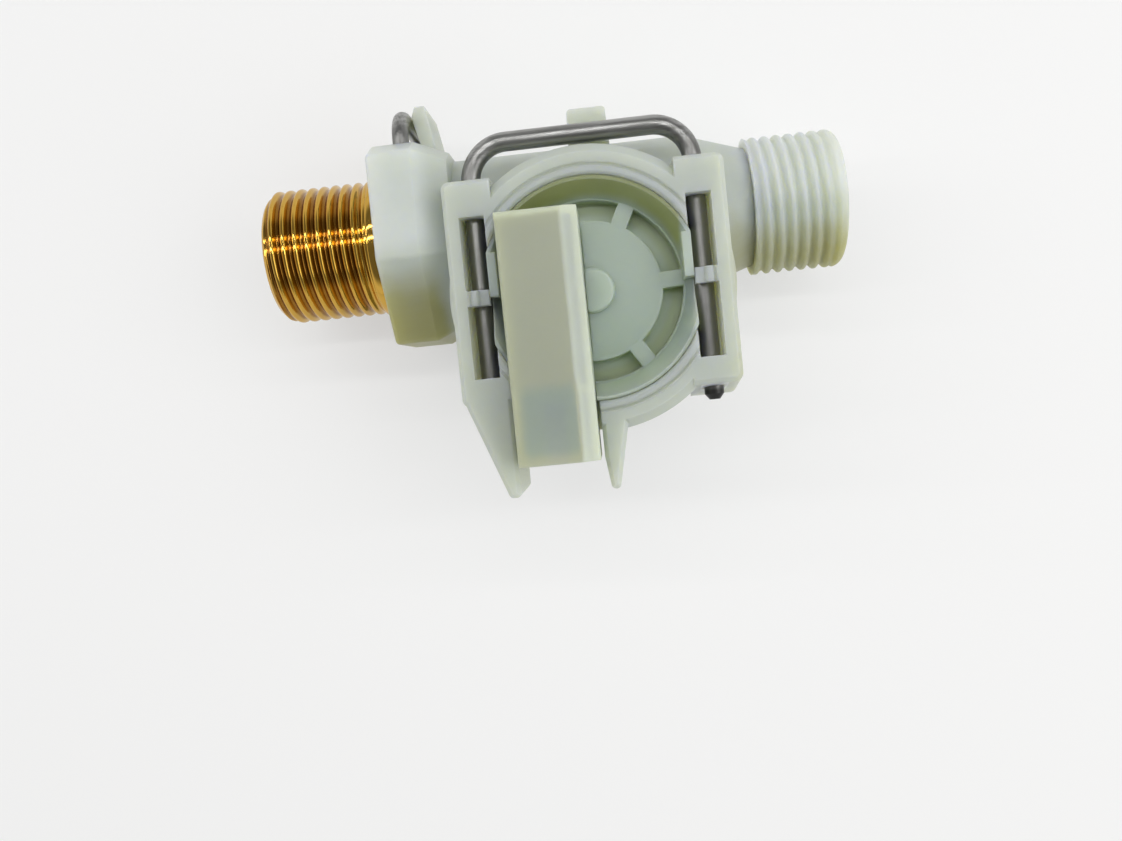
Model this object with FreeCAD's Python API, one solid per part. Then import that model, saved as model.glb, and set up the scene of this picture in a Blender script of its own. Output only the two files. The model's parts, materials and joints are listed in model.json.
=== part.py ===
import FreeCAD, Part
import math
import os

# Turbine flow switch for a water heater: a moulded body with a round turbine chamber, a clipped-in
# brass inlet nipple, a threaded outlet, and a plug-in cover with a Hall sensor and its socket.
# Frame: X runs along the flow, Y towards the bridge of the cover clip, Z out of the open chamber.
# The origin is on the turbine axis, in the plane of the back. All sizes are in millimetres.

V = FreeCAD.Vector
AXIS_X = V(1, 0, 0)
AXIS_Y = V(0, 1, 0)
AXIS_Z = V(0, 0, 1)

# Fits
RUNNING_GAP = 0.03
SEAT_GAP = 0.1
CLIP_GAP = 0.15
EDGE_R = 0.6

# Flow line and threads (G 1/2, major diameter 20.955)
FLOW_Y = 11.5
FLOW_Z = 15.0
THREAD_R = 10.4775
FLOW_BORE_R = 5.0
PIPE_BORE_R = 6.4

# Turbine chamber: levels up from the back, and steps outwards from the chamber's wall
BACK_WALL_Z = 6.0
CHAMBER_FLOOR_Z = 9.5
CAVITY_TOP_Z = 20.2
RING_BASE_Z = 22.6
SEAT_Z = 25.0
FRONT_Z = 33.0
CHAMBER_R = 13.6
PLUG_STEP = 1.0
SEAT_STEP = 1.4
BARREL_WALL = 2.0
RING_STEP = 2.4
RING_CHAMFER = 1.3
RING_BEVEL = 0.4
RING_GROOVE_STEP = 1.1
RING_GROOVE_WIDTH = 0.5
RING_GROOVE_DEPTH = 0.35
BACK_RIM = 2.4
BACK_RIB = 1.8
BACK_BOSS_R = 4.2
BACK_RIB_COUNT = 6

# Cover clip and the two channels that hold its legs
COVER_WIRE_R = 1.4
COVER_BEND_R = 5.5
COVER_BRIDGE_RISE = 5.6
COVER_LEG_SHOW = 2.4
CLIP_TIP = 0.8
CLIP_TIP_SHARE = 0.55
CHANNEL_WALL = 2.45
CHANNEL_DEPTH = 3.0
CHANNEL_TOP_STEP = 1.0
CHANNEL_BOTTOM_STEP = 1.0
CHANNEL_DRAFT = 1.8
CHANNEL_EDGE_R = 1.2
CHANNEL_CROSSBAR_Y = 0.25
CHANNEL_CROSSBAR = 2.2
WINDOW_END = 4.5
WINDOW_GAP = 0.25

# Cover
COVER_FLANGE = 2.5
COVER_POCKETS = 6
POCKET_IN_R = 10.2
POCKET_OUT_R = 13.2
POCKET_DEPTH = 2.9
POCKET_RIB = 2.4
POCKET_TURN = 3.0
RIM_FOOT_R = 13.4
RIM_LIP = 0.5
DOME_R = 9.8
DOME_RISE = 0.8
COVER_BOSS_R = 3.2
COVER_BOSS_H = 2.6
CHORD_WALL = 1.3
COVER_RING_SECTION_R = 1.05
COVER_GROOVE_W = 2.4
COVER_GROOVE_UP = 1.0

# Sensor housing, its socket and what it holds
HOUSING_W = 11.4
HOUSING_SIDE_GAP = 2.1
HOUSING_TOP_Y = 11.2
SOCKET_MOUTH_Y = -24.0
SOCKET_DEPTH = 9.5
HOUSING_FRONT_Z = 38.0
HOUSING_WALL = 1.2
HOUSING_BEVEL_W = 2.5
HOUSING_BEVEL_H = 1.3
BACK_PLATE = 1.2
SNOUT_X = -7.0
SNOUT_Y = 2.5
SNOUT_W = 5.6
SNOUT_L = 6.0
SNOUT_WALL = 0.7
SNOUT_REACH = 5.0
BOARD = 1.0
BOARD_GAP = 0.3
BOARD_LEDGE = 1.6
PIN_PITCH = 2.5
PIN_SIDE = 0.64
PIN_COUNT = 3
PIN_REACH = 7.0
PIN_TAIL = 3.0
HALL_W = 4.0
HALL_L = 1.5
HALL_H = 3.0
HALL_LEG = 0.4
HALL_LEG_PITCH = 1.27
CAPACITOR = (2.0, 1.2, 1.1)
CAPACITOR_X = 2.2
CAPACITOR_Y = -4.0
RESISTOR = (3.2, 1.6, 0.6)
RESISTOR_Y = 7.0

# Guards beside the socket
GUARD_REACH = 4.6
GUARD_BASE_Z = 17.0
WING_SHOULDER = 0.3
WING_TIP_W = 1.6
FANG_TIP_W = 1.8
FANG_ROOT_W = 4.6
GUARD_GAP = 0.5
GUARD_TIP_R = 0.7

# Inlet collar, nipple and nipple clip
COLLAR_FLAT = 6.6
COLLAR_WAIST = 4.9
COLLAR_WAIST_SHARE = 0.86
COLLAR_LAP = 0.5
COLLAR_TOP = 13.5
COLLAR_SHOULDER = 11.3
COLLAR_KNEE = -4.0
COLLAR_BOTTOM = -16.0
COLLAR_TOP_HALF = 10.5
COLLAR_HALF = 15.0
COLLAR_BOTTOM_HALF = 7.0
COLLAR_EDGE_R = 1.2
NECK_R = 12.0
NIPPLE_L = 18.3
NIPPLE_BEAD_R = 10.9
NIPPLE_BEAD = 2.0
NIPPLE_BORE_R = 5.25
NIPPLE_CHAMFER = 1.1
KEY_AF = 22.0
KEY_L = 2.0
PLUG_R = 9.0
PLUG_L = 13.5
NIPPLE_WIRE_R = 1.25
NIPPLE_CLIP_IN = 4.4
NIPPLE_CLIP_GROOVE_R = 7.3
NIPPLE_CLIP_BRIDGE = 18.3
NIPPLE_CLIP_TIP = -9.4
NIPPLE_CLIP_BEND_R = 4.0
NIPPLE_RING_IN = 11.0
NIPPLE_RING_SECTION_R = 1.08
NIPPLE_RING_GROOVE_R = 6.9
NIPPLE_RING_GROOVE_W = 2.7

# Clip rests, upright tabs behind each bridge
COLLAR_TAB = 2.1
COLLAR_TAB_IN = 7.0
COLLAR_TAB_LEAN = 1.2
COLLAR_TAB_TOP = 20.0
COLLAR_TAB_HALF = 5.5
COLLAR_TAB_CHAMFER = 1.6
BODY_TAB_X = 1.5
BODY_TAB_W = 5.6
BODY_TAB_RISE = 4.0
BODY_TAB = 2.8
BODY_TAB_TAPER = 0.4

# Inlet filter and jet nozzle
FILTER_RIM_R = 7.2
FILTER_RIM = 1.2
FILTER_CUP_R = 4.7
FILTER_CUP_L = 9.0
FILTER_WALL = 0.6
FILTER_SLOTS = 8
FILTER_SLOT_W = 1.5
NOZZLE_R = 7.2
NOZZLE_L = 4.0
JET_R = 3.0

# Outlet
OUTLET_NECK = 4.9
OUTLET_L = 13.8
OUTLET_NECK_R = 9.0
OUTLET_ROOT_R = 12.0
OUTLET_LEAD_R = 1.6

# Turbine
ROTOR_GAP = 0.6
ROTOR_BASE_Z = 10.5
ROTOR_TOP_Z = 19.5
ROTOR_TUBE_R = 2.6
ROTOR_PLATE_R = 9.2
ROTOR_PLATE = 2.6
BLADE_COUNT = 9
BLADE = 0.9
BLADE_LEAN = 28.0
MAGNET_COUNT = 4
MAGNET_R = 1.6
MAGNET_H = 2.0
MAGNET_PITCH_R = 6.6
SHAFT_R = 1.0
BUSH_R = 2.0
BUSH_H = 3.0
BUSH_PROUD = 0.3
SHAFT_INSET = 0.5
WASHER_R = 2.2
WASHER = 0.5

# Levels and places that follow from the sizes above
PLUG_BORE_R = CHAMBER_R + PLUG_STEP
OPENING_R = PLUG_BORE_R + SEAT_STEP
BARREL_R = OPENING_R + BARREL_WALL
RING_R = BARREL_R + RING_STEP
FLANGE_TOP_Z = SEAT_Z + COVER_FLANGE
RIM_TOP_Z = FRONT_Z - EDGE_R
COVER_FLANGE_R = OPENING_R - SEAT_GAP
COVER_PLUG_R = PLUG_BORE_R - SEAT_GAP
COVER_BASE_Z = CAVITY_TOP_Z + SEAT_GAP
COVER_WIRE_Z = FLANGE_TOP_Z + SEAT_GAP + COVER_WIRE_R
COVER_LEG_X = OPENING_R
CHORD_X = COVER_LEG_X - COVER_WIRE_R - SEAT_GAP
CHANNEL_BORE_R = COVER_WIRE_R + CLIP_GAP
TRACK_HALF = CHANNEL_BORE_R + WINDOW_GAP
CHANNEL_INNER_X = COVER_LEG_X - CHANNEL_DEPTH
CHANNEL_HALF = COVER_LEG_X + CHANNEL_BORE_R + CHANNEL_WALL
CHANNEL_TOP_Y = OPENING_R + CHANNEL_TOP_STEP
CHANNEL_BOTTOM_Y = CHANNEL_BOTTOM_STEP - OPENING_R
WINDOW_REACH = OPENING_R - WINDOW_END
COVER_BRIDGE_Y = CHANNEL_TOP_Y + COVER_BRIDGE_RISE
COVER_LEG_TIP_Y = CHANNEL_BOTTOM_Y - COVER_LEG_SHOW
BODY_TAB_TOP_Y = COVER_BRIDGE_Y + BODY_TAB_RISE
HOUSING_BASE_Z = FLANGE_TOP_Z + SEAT_GAP + BACK_PLATE
HOUSING_LEFT_X = HOUSING_SIDE_GAP - CHORD_X
HOUSING_RIGHT_X = HOUSING_LEFT_X + HOUSING_W
HOUSING_MID_X = (HOUSING_LEFT_X + HOUSING_RIGHT_X) / 2
SOCKET_BACK_Y = SOCKET_MOUTH_Y + SOCKET_DEPTH
GUARD_TIP_Y = SOCKET_MOUTH_Y - GUARD_REACH
BOARD_Z = HOUSING_BASE_Z + BOARD_LEDGE
PIN_Z = BOARD_Z + BOARD
COLLAR_IN_X = COLLAR_LAP - CHANNEL_HALF
COLLAR_WAIST_X = COLLAR_IN_X - COLLAR_WAIST
COLLAR_OUT_X = COLLAR_WAIST_X - COLLAR_FLAT
COLLAR_TAB_X = COLLAR_OUT_X + COLLAR_TAB_IN
NIPPLE_END_X = COLLAR_OUT_X - NIPPLE_L
NIPPLE_CLIP_X = COLLAR_OUT_X + NIPPLE_CLIP_IN
NIPPLE_RING_X = COLLAR_OUT_X + NIPPLE_RING_IN
NIPPLE_LEG = NIPPLE_CLIP_GROOVE_R + NIPPLE_WIRE_R + SEAT_GAP
KEY_END_X = COLLAR_OUT_X + KEY_L
PLUG_END_X = KEY_END_X + PLUG_L
SOCKET_END_X = PLUG_END_X + SEAT_GAP
NOZZLE_END_X = SOCKET_END_X + NOZZLE_L
OUTLET_ROOT_X = BARREL_R - BACK_RIM
OUTLET_THREAD_X = CHANNEL_HALF + OUTLET_NECK
OUTLET_END_X = OUTLET_THREAD_X + OUTLET_L
ROTOR_R = CHAMBER_R - ROTOR_GAP
BUSH_LOW_Z = CHAMBER_FLOOR_Z + BUSH_PROUD - BUSH_H
BUSH_HIGH_Z = COVER_BASE_Z
EPS = 0.01


def at(x=0.0, y=0.0, z=0.0):
    """A point of the frame."""
    return V(x, y, z)


def flow(x):
    """The point of the flow line at one X."""
    return V(x, FLOW_Y, FLOW_Z)


def box(x0, x1, y0, y1, z0, z1):
    """A block between two opposite corners."""
    return Part.makeBox(x1 - x0, y1 - y0, z1 - z0, V(x0, y0, z0))


def disc(radius, z0, z1, x=0.0, y=0.0):
    """A round solid along Z."""
    return Part.makeCylinder(radius, z1 - z0, V(x, y, z0), AXIS_Z)


def rod(radius, x0, x1):
    """A round solid on the flow line."""
    return Part.makeCylinder(radius, x1 - x0, flow(x0), AXIS_X)


def post(radius, x, z, y0, y1):
    """A round solid along Y."""
    return Part.makeCylinder(radius, y1 - y0, V(x, y0, z), AXIS_Y)


def prism(points, reach):
    """A closed outline carried along a vector."""
    return Part.Face(Part.makePolygon(points + points[:1])).extrude(reach)


def hexagon(across_flats, x0, x1):
    """A hexagonal bar on the flow line, a flat to the front."""
    corner = across_flats / math.sqrt(3)
    turns = [math.radians(60 * step + 30) for step in range(6)]
    points = [flow(x0) + V(0, corner * math.sin(a), corner * math.cos(a)) for a in turns]
    return prism(points, AXIS_X * (x1 - x0))


def torus(radius, section, centre, axis):
    """A seal ring of round section."""
    return Part.makeTorus(radius, section, centre, axis)


def spun(shape, count, centre, axis, start=0.0):
    """Copies of a shape, evenly turned about an axis."""
    copies = []
    for step in range(count):
        copy = shape.copy()
        copy.rotate(centre, axis, start + step * 360.0 / count)
        copies.append(copy)
    return copies


def rounded(shape, radius, test):
    """The shape with every edge rounded whose middle passes the test."""
    edges = [e for e in shape.Edges if test(e.valueAt((e.FirstParameter + e.LastParameter) / 2), e)]
    return shape.makeFillet(radius, edges)


def bevelled(shape, size, test):
    """The shape with a flat bevel on every edge that passes the test."""
    return shape.makeChamfer(size, [edge for edge in shape.Edges if test(edge.CenterOfMass, edge)])


def along(edge, axis):
    """True for a straight edge parallel to an axis."""
    if len(edge.Vertexes) < 2:
        return False
    run = edge.Vertexes[1].Point - edge.Vertexes[0].Point
    return abs(abs(run.normalize().dot(axis)) - 1) < 1e-6


def wire_clip(legs, out, tips, bridge, wire_r, bend_r):
    """A U of round wire: two legs in one plane, quarter-circle bends, a bridge and coned tips."""
    across = (legs[1] - legs[0]).normalize()
    span = legs[0].distanceToPoint(legs[1])
    side = across.cross(out)
    shapes = []
    for leg, inward in ((legs[0], across), (legs[1], across * -1)):
        straight = bridge - bend_r - tips
        foot = leg + out * (tips + CLIP_TIP)
        shapes.append(Part.makeCylinder(wire_r, straight - CLIP_TIP, foot, out))
        shapes.append(Part.makeCone(wire_r * CLIP_TIP_SHARE, wire_r, CLIP_TIP, leg + out * tips, out))
        end = leg + out * (bridge - bend_r)
        section = Part.Face(Part.Wire(Part.makeCircle(wire_r, end, out)))
        pivot = end + inward * bend_r
        turn = 90.0 if inward.dot(across) > 0 else -90.0
        shapes.append(section.revolve(pivot, side * -1, turn))
    start = legs[0] + out * bridge + across * bend_r
    shapes.append(Part.makeCylinder(wire_r, span - 2 * bend_r, start, across))
    return shapes[0].fuse(shapes[1:]).removeSplitter()


def joined(solid, parts):
    """One solid with every part added in turn."""
    for part in parts:
        solid = solid.fuse(part)
    return solid


def trimmed(solid, cuts):
    """One solid with every cut taken out in turn."""
    for cut in cuts:
        solid = solid.cut(cut)
    return solid


def collar_outline(x):
    """The inlet collar's section: flat top, upright flanks and two facets down to a narrow keel."""
    half = [
        (COLLAR_TOP, COLLAR_TOP_HALF),
        (COLLAR_SHOULDER, COLLAR_HALF),
        (COLLAR_KNEE, COLLAR_HALF),
        (COLLAR_BOTTOM, COLLAR_BOTTOM_HALF),
    ]
    front = [flow(x) + V(0, y, z) for y, z in half]
    back = [flow(x) + V(0, y, -z) for y, z in reversed(half)]
    return front + back


def clip_channels():
    """The two upright frames beside the chamber for the legs of the cover clip, drafted at the foot."""
    frames = []
    for side in (-1, 1):
        inner = side * CHANNEL_INNER_X
        outer = side * CHANNEL_HALF
        outline = [
            at(inner, CHANNEL_TOP_Y, RING_BASE_Z),
            at(inner, CHANNEL_TOP_Y, FRONT_Z),
            at(inner, CHANNEL_BOTTOM_Y, FRONT_Z),
            at(inner, CHANNEL_BOTTOM_Y - CHANNEL_DRAFT, RING_BASE_Z),
        ]
        frame = prism(outline, AXIS_X * (outer - inner))
        upright = lambda p, e: abs(p.x - outer) < EPS and RING_BASE_Z + EPS < p.z < FRONT_Z - EPS
        frame = rounded(frame, CHANNEL_EDGE_R, upright)
        rim = lambda p, e: p.z > FRONT_Z - EPS and abs(p.x - inner) > EPS
        frames.append(bevelled(frame, EDGE_R, rim))
    return frames


def crossbars():
    """The short bar over the middle of each leg, between its two windows."""
    y0 = CHANNEL_CROSSBAR_Y - CHANNEL_CROSSBAR / 2
    z0 = COVER_WIRE_Z + TRACK_HALF
    reach = TRACK_HALF + CHANNEL_WALL / 2
    bars = []
    for side in (-1, 1):
        x0, x1 = sorted((side * (CHORD_X + SEAT_GAP), side * (COVER_LEG_X + reach)))
        bars.append(box(x0, x1, y0, y0 + CHANNEL_CROSSBAR, z0, FRONT_Z - EDGE_R))
    return bars


def channel_cuts():
    """The leg bores, the square track between them and its two windows to a side, with a crossbar between."""
    cuts = []
    for side in (-1, 1):
        x = side * COVER_LEG_X
        x0 = x - TRACK_HALF
        x1 = x + TRACK_HALF
        cuts.append(post(CHANNEL_BORE_R, x, COVER_WIRE_Z, 2 * CHANNEL_BOTTOM_Y, CHANNEL_TOP_Y + 1))
        low = CHANNEL_CROSSBAR_Y - WINDOW_REACH
        high = CHANNEL_CROSSBAR_Y + WINDOW_REACH
        cuts.append(box(x0, x1, low, high, COVER_WIRE_Z - TRACK_HALF, COVER_WIRE_Z + TRACK_HALF))
        bar = CHANNEL_CROSSBAR / 2
        cuts.append(box(x0, x1, low, CHANNEL_CROSSBAR_Y - bar, COVER_WIRE_Z, FRONT_Z + 1))
        cuts.append(box(x0, x1, CHANNEL_CROSSBAR_Y + bar, high, COVER_WIRE_Z, FRONT_Z + 1))
    return cuts


def guards():
    """The wing and the fang that stand on each side of the socket."""
    wing_in = HOUSING_LEFT_X - GUARD_GAP
    wing = [
        at(WING_SHOULDER - CHANNEL_HALF, CHANNEL_BOTTOM_Y / 2, GUARD_BASE_Z),
        at(WING_SHOULDER - CHANNEL_HALF, CHANNEL_BOTTOM_Y + EDGE_R, GUARD_BASE_Z),
        at(wing_in - WING_TIP_W, GUARD_TIP_Y, GUARD_BASE_Z),
        at(wing_in, GUARD_TIP_Y, GUARD_BASE_Z),
        at(wing_in, CHANNEL_BOTTOM_Y / 2, GUARD_BASE_Z),
    ]
    fang_in = HOUSING_RIGHT_X + GUARD_GAP
    root_y = -BARREL_R + BACK_RIM
    fang = [
        at(fang_in, root_y, GUARD_BASE_Z),
        at(fang_in, GUARD_TIP_Y + FANG_ROOT_W, GUARD_BASE_Z),
        at(fang_in + EDGE_R, GUARD_TIP_Y, GUARD_BASE_Z),
        at(fang_in + FANG_TIP_W, GUARD_TIP_Y, GUARD_BASE_Z),
        at(fang_in + FANG_ROOT_W, root_y, GUARD_BASE_Z),
    ]
    rise = AXIS_Z * (FRONT_Z - GUARD_BASE_Z)
    tip = lambda p, e: abs(p.y - GUARD_TIP_Y) < EPS and along(e, AXIS_Z)
    rim = lambda p, e: p.z > FRONT_Z - EPS and p.y < CHANNEL_BOTTOM_Y / 2 - EPS
    tips = [rounded(prism(outline, rise), GUARD_TIP_R, tip) for outline in (wing, fang)]
    return [bevelled(shape, EDGE_R, rim) for shape in tips]


def clip_rests():
    """The upright tabs behind the bridges of the two clips."""
    top = FLOW_Y + COLLAR_TAB_TOP
    bend = FLOW_Y + COLLAR_TOP
    foot = FLOW_Y + COLLAR_KNEE
    z0 = FLOW_Z - COLLAR_TAB_HALF
    x0 = COLLAR_TAB_X
    x1 = COLLAR_TAB_X + COLLAR_TAB
    outline = [
        at(x0, foot, z0),
        at(x0, bend, z0),
        at(x0 - COLLAR_TAB_LEAN, top - COLLAR_TAB_CHAMFER, z0),
        at(x0 - COLLAR_TAB_LEAN / 2, top, z0),
        at(x1 - COLLAR_TAB_LEAN, top, z0),
        at(x1, bend, z0),
        at(x1, foot, z0),
    ]
    collar_tab = prism(outline, AXIS_Z * 2 * COLLAR_TAB_HALF)
    front = COVER_WIRE_Z - COVER_WIRE_R - BODY_TAB_TAPER
    half = BODY_TAB_W / 2
    root = half + BODY_TAB_TAPER
    outline = [
        at(BODY_TAB_X - root, OPENING_R + RING_BEVEL, front - BODY_TAB),
        at(BODY_TAB_X - half, BODY_TAB_TOP_Y, front - BODY_TAB),
        at(BODY_TAB_X + half, BODY_TAB_TOP_Y, front - BODY_TAB),
        at(BODY_TAB_X + root, OPENING_R + RING_BEVEL, front - BODY_TAB),
    ]
    body_tab = prism(outline, AXIS_Z * BODY_TAB)
    tip = lambda p, e: abs(p.y - BODY_TAB_TOP_Y) < EPS and along(e, AXIS_Z)
    return [collar_tab, rounded(body_tab, EDGE_R, tip)]


def collar():
    """The inlet collar: a faceted block with rounded long edges, and a waist that slopes down to the neck."""
    block = prism(collar_outline(COLLAR_OUT_X), AXIS_X * COLLAR_FLAT)
    block = rounded(block, COLLAR_EDGE_R, lambda p, e: along(e, AXIS_X))
    block = rounded(block, EDGE_R, lambda p, e: abs(p.x - COLLAR_OUT_X) < EPS)
    wide = [face for face in block.Faces if abs(face.CenterOfMass.x - COLLAR_WAIST_X) < EPS][0].OuterWire
    narrow = wide.copy()
    narrow.scale(COLLAR_WAIST_SHARE, flow(COLLAR_WAIST_X))
    narrow.translate(AXIS_X * COLLAR_WAIST)
    return block.fuse(Part.makeLoft([wide, narrow], True, True))


def outlet_neck():
    """The root and the tapered neck that carry the outlet's threaded end."""
    neck = Part.makeCone(OUTLET_ROOT_R, OUTLET_NECK_R, OUTLET_THREAD_X - OUTLET_ROOT_X,
                         flow(OUTLET_ROOT_X), AXIS_X)
    return [rod(OUTLET_ROOT_R, 0, OUTLET_ROOT_X), neck]


def outlet_spigot():
    """The outlet's threaded end: a tube of the thread's full diameter with a round lead-in."""
    thread = rod(THREAD_R, OUTLET_THREAD_X, OUTLET_END_X)
    thread = rounded(thread, OUTLET_LEAD_R, lambda p, e: abs(p.x - OUTLET_END_X) < EPS and e.Closed)
    return thread.cut(rod(PIPE_BORE_R, OUTLET_THREAD_X - 1, OUTLET_END_X + 1))


def back_recess():
    """The cored-out back of the chamber, with ribs from the bearing boss to the rim."""
    hollow = disc(BARREL_R - BACK_RIM, -1, BACK_WALL_Z)
    rib = box(0, BARREL_R, -BACK_RIB / 2, BACK_RIB / 2, -1, BACK_WALL_Z)
    keep = [disc(BACK_BOSS_R, -1, BACK_WALL_Z)]
    keep += spun(rib, BACK_RIB_COUNT, at(), AXIS_Z, 180.0 / BACK_RIB_COUNT)
    return hollow.cut(keep[0].fuse(keep[1:]))


def chamber_cuts():
    """The stepped chamber, its bevelled mouth, the fine groove round it and the gap for the socket."""
    bevel = Part.makeCone(OPENING_R, OPENING_R + RING_BEVEL + 1, RING_BEVEL + 1,
                          at(z=FRONT_Z - RING_BEVEL), AXIS_Z)
    groove_r = OPENING_R + RING_GROOVE_STEP
    groove = disc(groove_r + RING_GROOVE_WIDTH, FRONT_Z - RING_GROOVE_DEPTH, FRONT_Z + 1)
    groove = groove.cut(disc(groove_r, FRONT_Z - 1, FRONT_Z + 1))
    gap = box(HOUSING_LEFT_X - GUARD_GAP, HOUSING_RIGHT_X + GUARD_GAP,
              GUARD_TIP_Y - 1, -OPENING_R / 2, SEAT_Z, FRONT_Z + 1)
    corner = box(HOUSING_LEFT_X - GUARD_GAP, HOUSING_MID_X,
                 -OPENING_R / 2, HOUSING_TOP_Y + GUARD_GAP, FLANGE_TOP_Z, FRONT_Z + 1)
    seat = disc(BUSH_R + RUNNING_GAP, BUSH_LOW_Z, CHAMBER_FLOOR_Z + 1)
    return [
        disc(CHAMBER_R, CHAMBER_FLOOR_Z, CAVITY_TOP_Z + EPS),
        disc(PLUG_BORE_R, CAVITY_TOP_Z, SEAT_Z + EPS),
        disc(OPENING_R, SEAT_Z, FRONT_Z + 1),
        bevel,
        groove,
        gap,
        corner,
        seat,
    ]


def flow_cuts():
    """The nipple socket, the nozzle seat and the passage past the turbine to the outlet."""
    return [
        rod(PLUG_R + SEAT_GAP, COLLAR_OUT_X - 1, SOCKET_END_X),
        hexagon(KEY_AF + 2 * SEAT_GAP, COLLAR_OUT_X - 1, KEY_END_X + SEAT_GAP),
        rod(NOZZLE_R + SEAT_GAP, SOCKET_END_X - EPS, NOZZLE_END_X),
        rod(FLOW_BORE_R, NOZZLE_END_X - EPS, OUTLET_THREAD_X + 1),
    ]


def nipple_clip_cuts():
    """The two blind leg bores down through the inlet collar."""
    y0 = FLOW_Y + NIPPLE_CLIP_TIP - CLIP_TIP
    y1 = FLOW_Y + COLLAR_TOP + 1
    bore_r = NIPPLE_WIRE_R + CLIP_GAP
    return [post(bore_r, NIPPLE_CLIP_X, FLOW_Z + side * NIPPLE_LEG, y0, y1) for side in (-1, 1)]


def meter_body():
    """The moulded body, from the inlet collar to the shoulder that carries the outlet's threaded end."""
    flare = Part.makeCone(BARREL_R, RING_R, RING_R - BARREL_R, at(z=RING_BASE_Z - RING_R + BARREL_R), AXIS_Z)
    ring = disc(RING_R, RING_BASE_Z, FRONT_Z)
    ring = bevelled(ring, RING_CHAMFER, lambda p, e: p.z > FRONT_Z - EPS)
    parts = [flare, ring, collar(), rod(NECK_R, COLLAR_IN_X - EPS, 0)]
    parts += clip_channels() + guards() + clip_rests() + outlet_neck()
    solid = joined(disc(BARREL_R, 0, RING_BASE_Z), parts)
    cuts = chamber_cuts() + flow_cuts() + channel_cuts() + nipple_clip_cuts() + [back_recess()]
    return joined(trimmed(solid, cuts), crossbars())


def cover_pocket():
    """One curved pocket between two radial ribs of the cover."""
    ring = disc(POCKET_OUT_R, FLANGE_TOP_Z - POCKET_DEPTH, FLANGE_TOP_Z + 1)
    ring = ring.cut(disc(POCKET_IN_R, 0, FRONT_Z))
    half = math.pi / COVER_POCKETS
    far = 2 * POCKET_OUT_R
    inset = POCKET_RIB / 2 / math.sin(half)
    wedge = [
        at(inset, 0, 0),
        at(inset + far * math.cos(half), far * math.sin(half), 0),
        at(inset + far * math.cos(half), -far * math.sin(half), 0),
    ]
    return ring.common(prism(wedge, AXIS_Z * FRONT_Z))


def cover_rim():
    """The cover's raised rim, sloped inside like a dish, and its straight walls beside the clip's legs."""
    section = [
        at(RIM_FOOT_R, 0, FLANGE_TOP_Z - EPS),
        at(COVER_FLANGE_R, 0, FLANGE_TOP_Z - EPS),
        at(COVER_FLANGE_R, 0, RIM_TOP_Z),
        at(COVER_FLANGE_R - RIM_LIP, 0, RIM_TOP_Z),
    ]
    rim = Part.Face(Part.makePolygon(section + section[:1])).revolve(at(), AXIS_Z, 360)
    reach = math.sqrt(COVER_FLANGE_R ** 2 - CHORD_X ** 2)
    walls = []
    for side in (-1, 1):
        x0, x1 = sorted((side * (CHORD_X - CHORD_WALL), side * CHORD_X))
        walls.append(box(x0, x1, CHANNEL_CROSSBAR_Y, reach, SEAT_Z, RIM_TOP_Z))
    return [rim] + walls


def cover_middle():
    """The domed middle of the cover and its round boss."""
    dome_radius = (DOME_R ** 2 + DOME_RISE ** 2) / (2 * DOME_RISE)
    ball = Part.makeSphere(dome_radius, at(z=FLANGE_TOP_Z + DOME_RISE - dome_radius))
    boss_top = FLANGE_TOP_Z + COVER_BOSS_H
    boss = disc(COVER_BOSS_R, SEAT_Z, boss_top)
    boss = rounded(boss, EDGE_R, lambda p, e: abs(p.z - boss_top) < EPS and e.Closed)
    return [ball.common(disc(DOME_R, SEAT_Z, FRONT_Z)), boss]


def cover_cuts():
    """The seal groove, the sensor well, the room for the housing, the bush seat and the clip's tracks."""
    groove_z = COVER_BASE_Z + COVER_GROOVE_UP
    groove_r = PLUG_BORE_R - 2 * COVER_RING_SECTION_R - 2 * RUNNING_GAP
    groove = disc(COVER_PLUG_R + 1, groove_z, groove_z + COVER_GROOVE_W).cut(disc(groove_r, 0, FRONT_Z))
    half_w = SNOUT_W / 2 + SEAT_GAP
    half_l = SNOUT_L / 2 + SEAT_GAP
    well = box(SNOUT_X - half_w, SNOUT_X + half_w, SNOUT_Y - half_l, SNOUT_Y + half_l,
               FLANGE_TOP_Z - SNOUT_REACH, FRONT_Z)
    room = box(HOUSING_LEFT_X - GUARD_GAP, HOUSING_RIGHT_X + SEAT_GAP,
               -OPENING_R, HOUSING_TOP_Y + SEAT_GAP, FLANGE_TOP_Z, FRONT_Z)
    seat = disc(BUSH_R + RUNNING_GAP, COVER_BASE_Z - 1, BUSH_HIGH_Z + BUSH_H)
    tracks = [box(-OPENING_R - 1, -CHORD_X, -OPENING_R, OPENING_R, FLANGE_TOP_Z, FRONT_Z)]
    tracks.append(box(CHORD_X, OPENING_R + 1, -OPENING_R, OPENING_R, FLANGE_TOP_Z, FRONT_Z))
    return [groove, well, room, seat] + tracks


def chamber_cover():
    """The plug-in cover: flange, sealing plug, ribbed pockets, dished rim, domed middle and sensor well."""
    flange = disc(COVER_FLANGE_R, SEAT_Z, FLANGE_TOP_Z)
    solid = joined(disc(COVER_PLUG_R, COVER_BASE_Z, SEAT_Z + EPS), [flange])
    first = POCKET_TURN + 180.0 / COVER_POCKETS
    solid = trimmed(solid, spun(cover_pocket(), COVER_POCKETS, at(), AXIS_Z, first))
    return trimmed(joined(solid, cover_rim() + cover_middle()), cover_cuts())


def cover_o_ring():
    """The seal in the groove of the cover's plug."""
    z = COVER_BASE_Z + COVER_GROOVE_UP + COVER_GROOVE_W / 2
    radius = PLUG_BORE_R - COVER_RING_SECTION_R - RUNNING_GAP
    return torus(radius, COVER_RING_SECTION_R, at(z=z), AXIS_Z)


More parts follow.
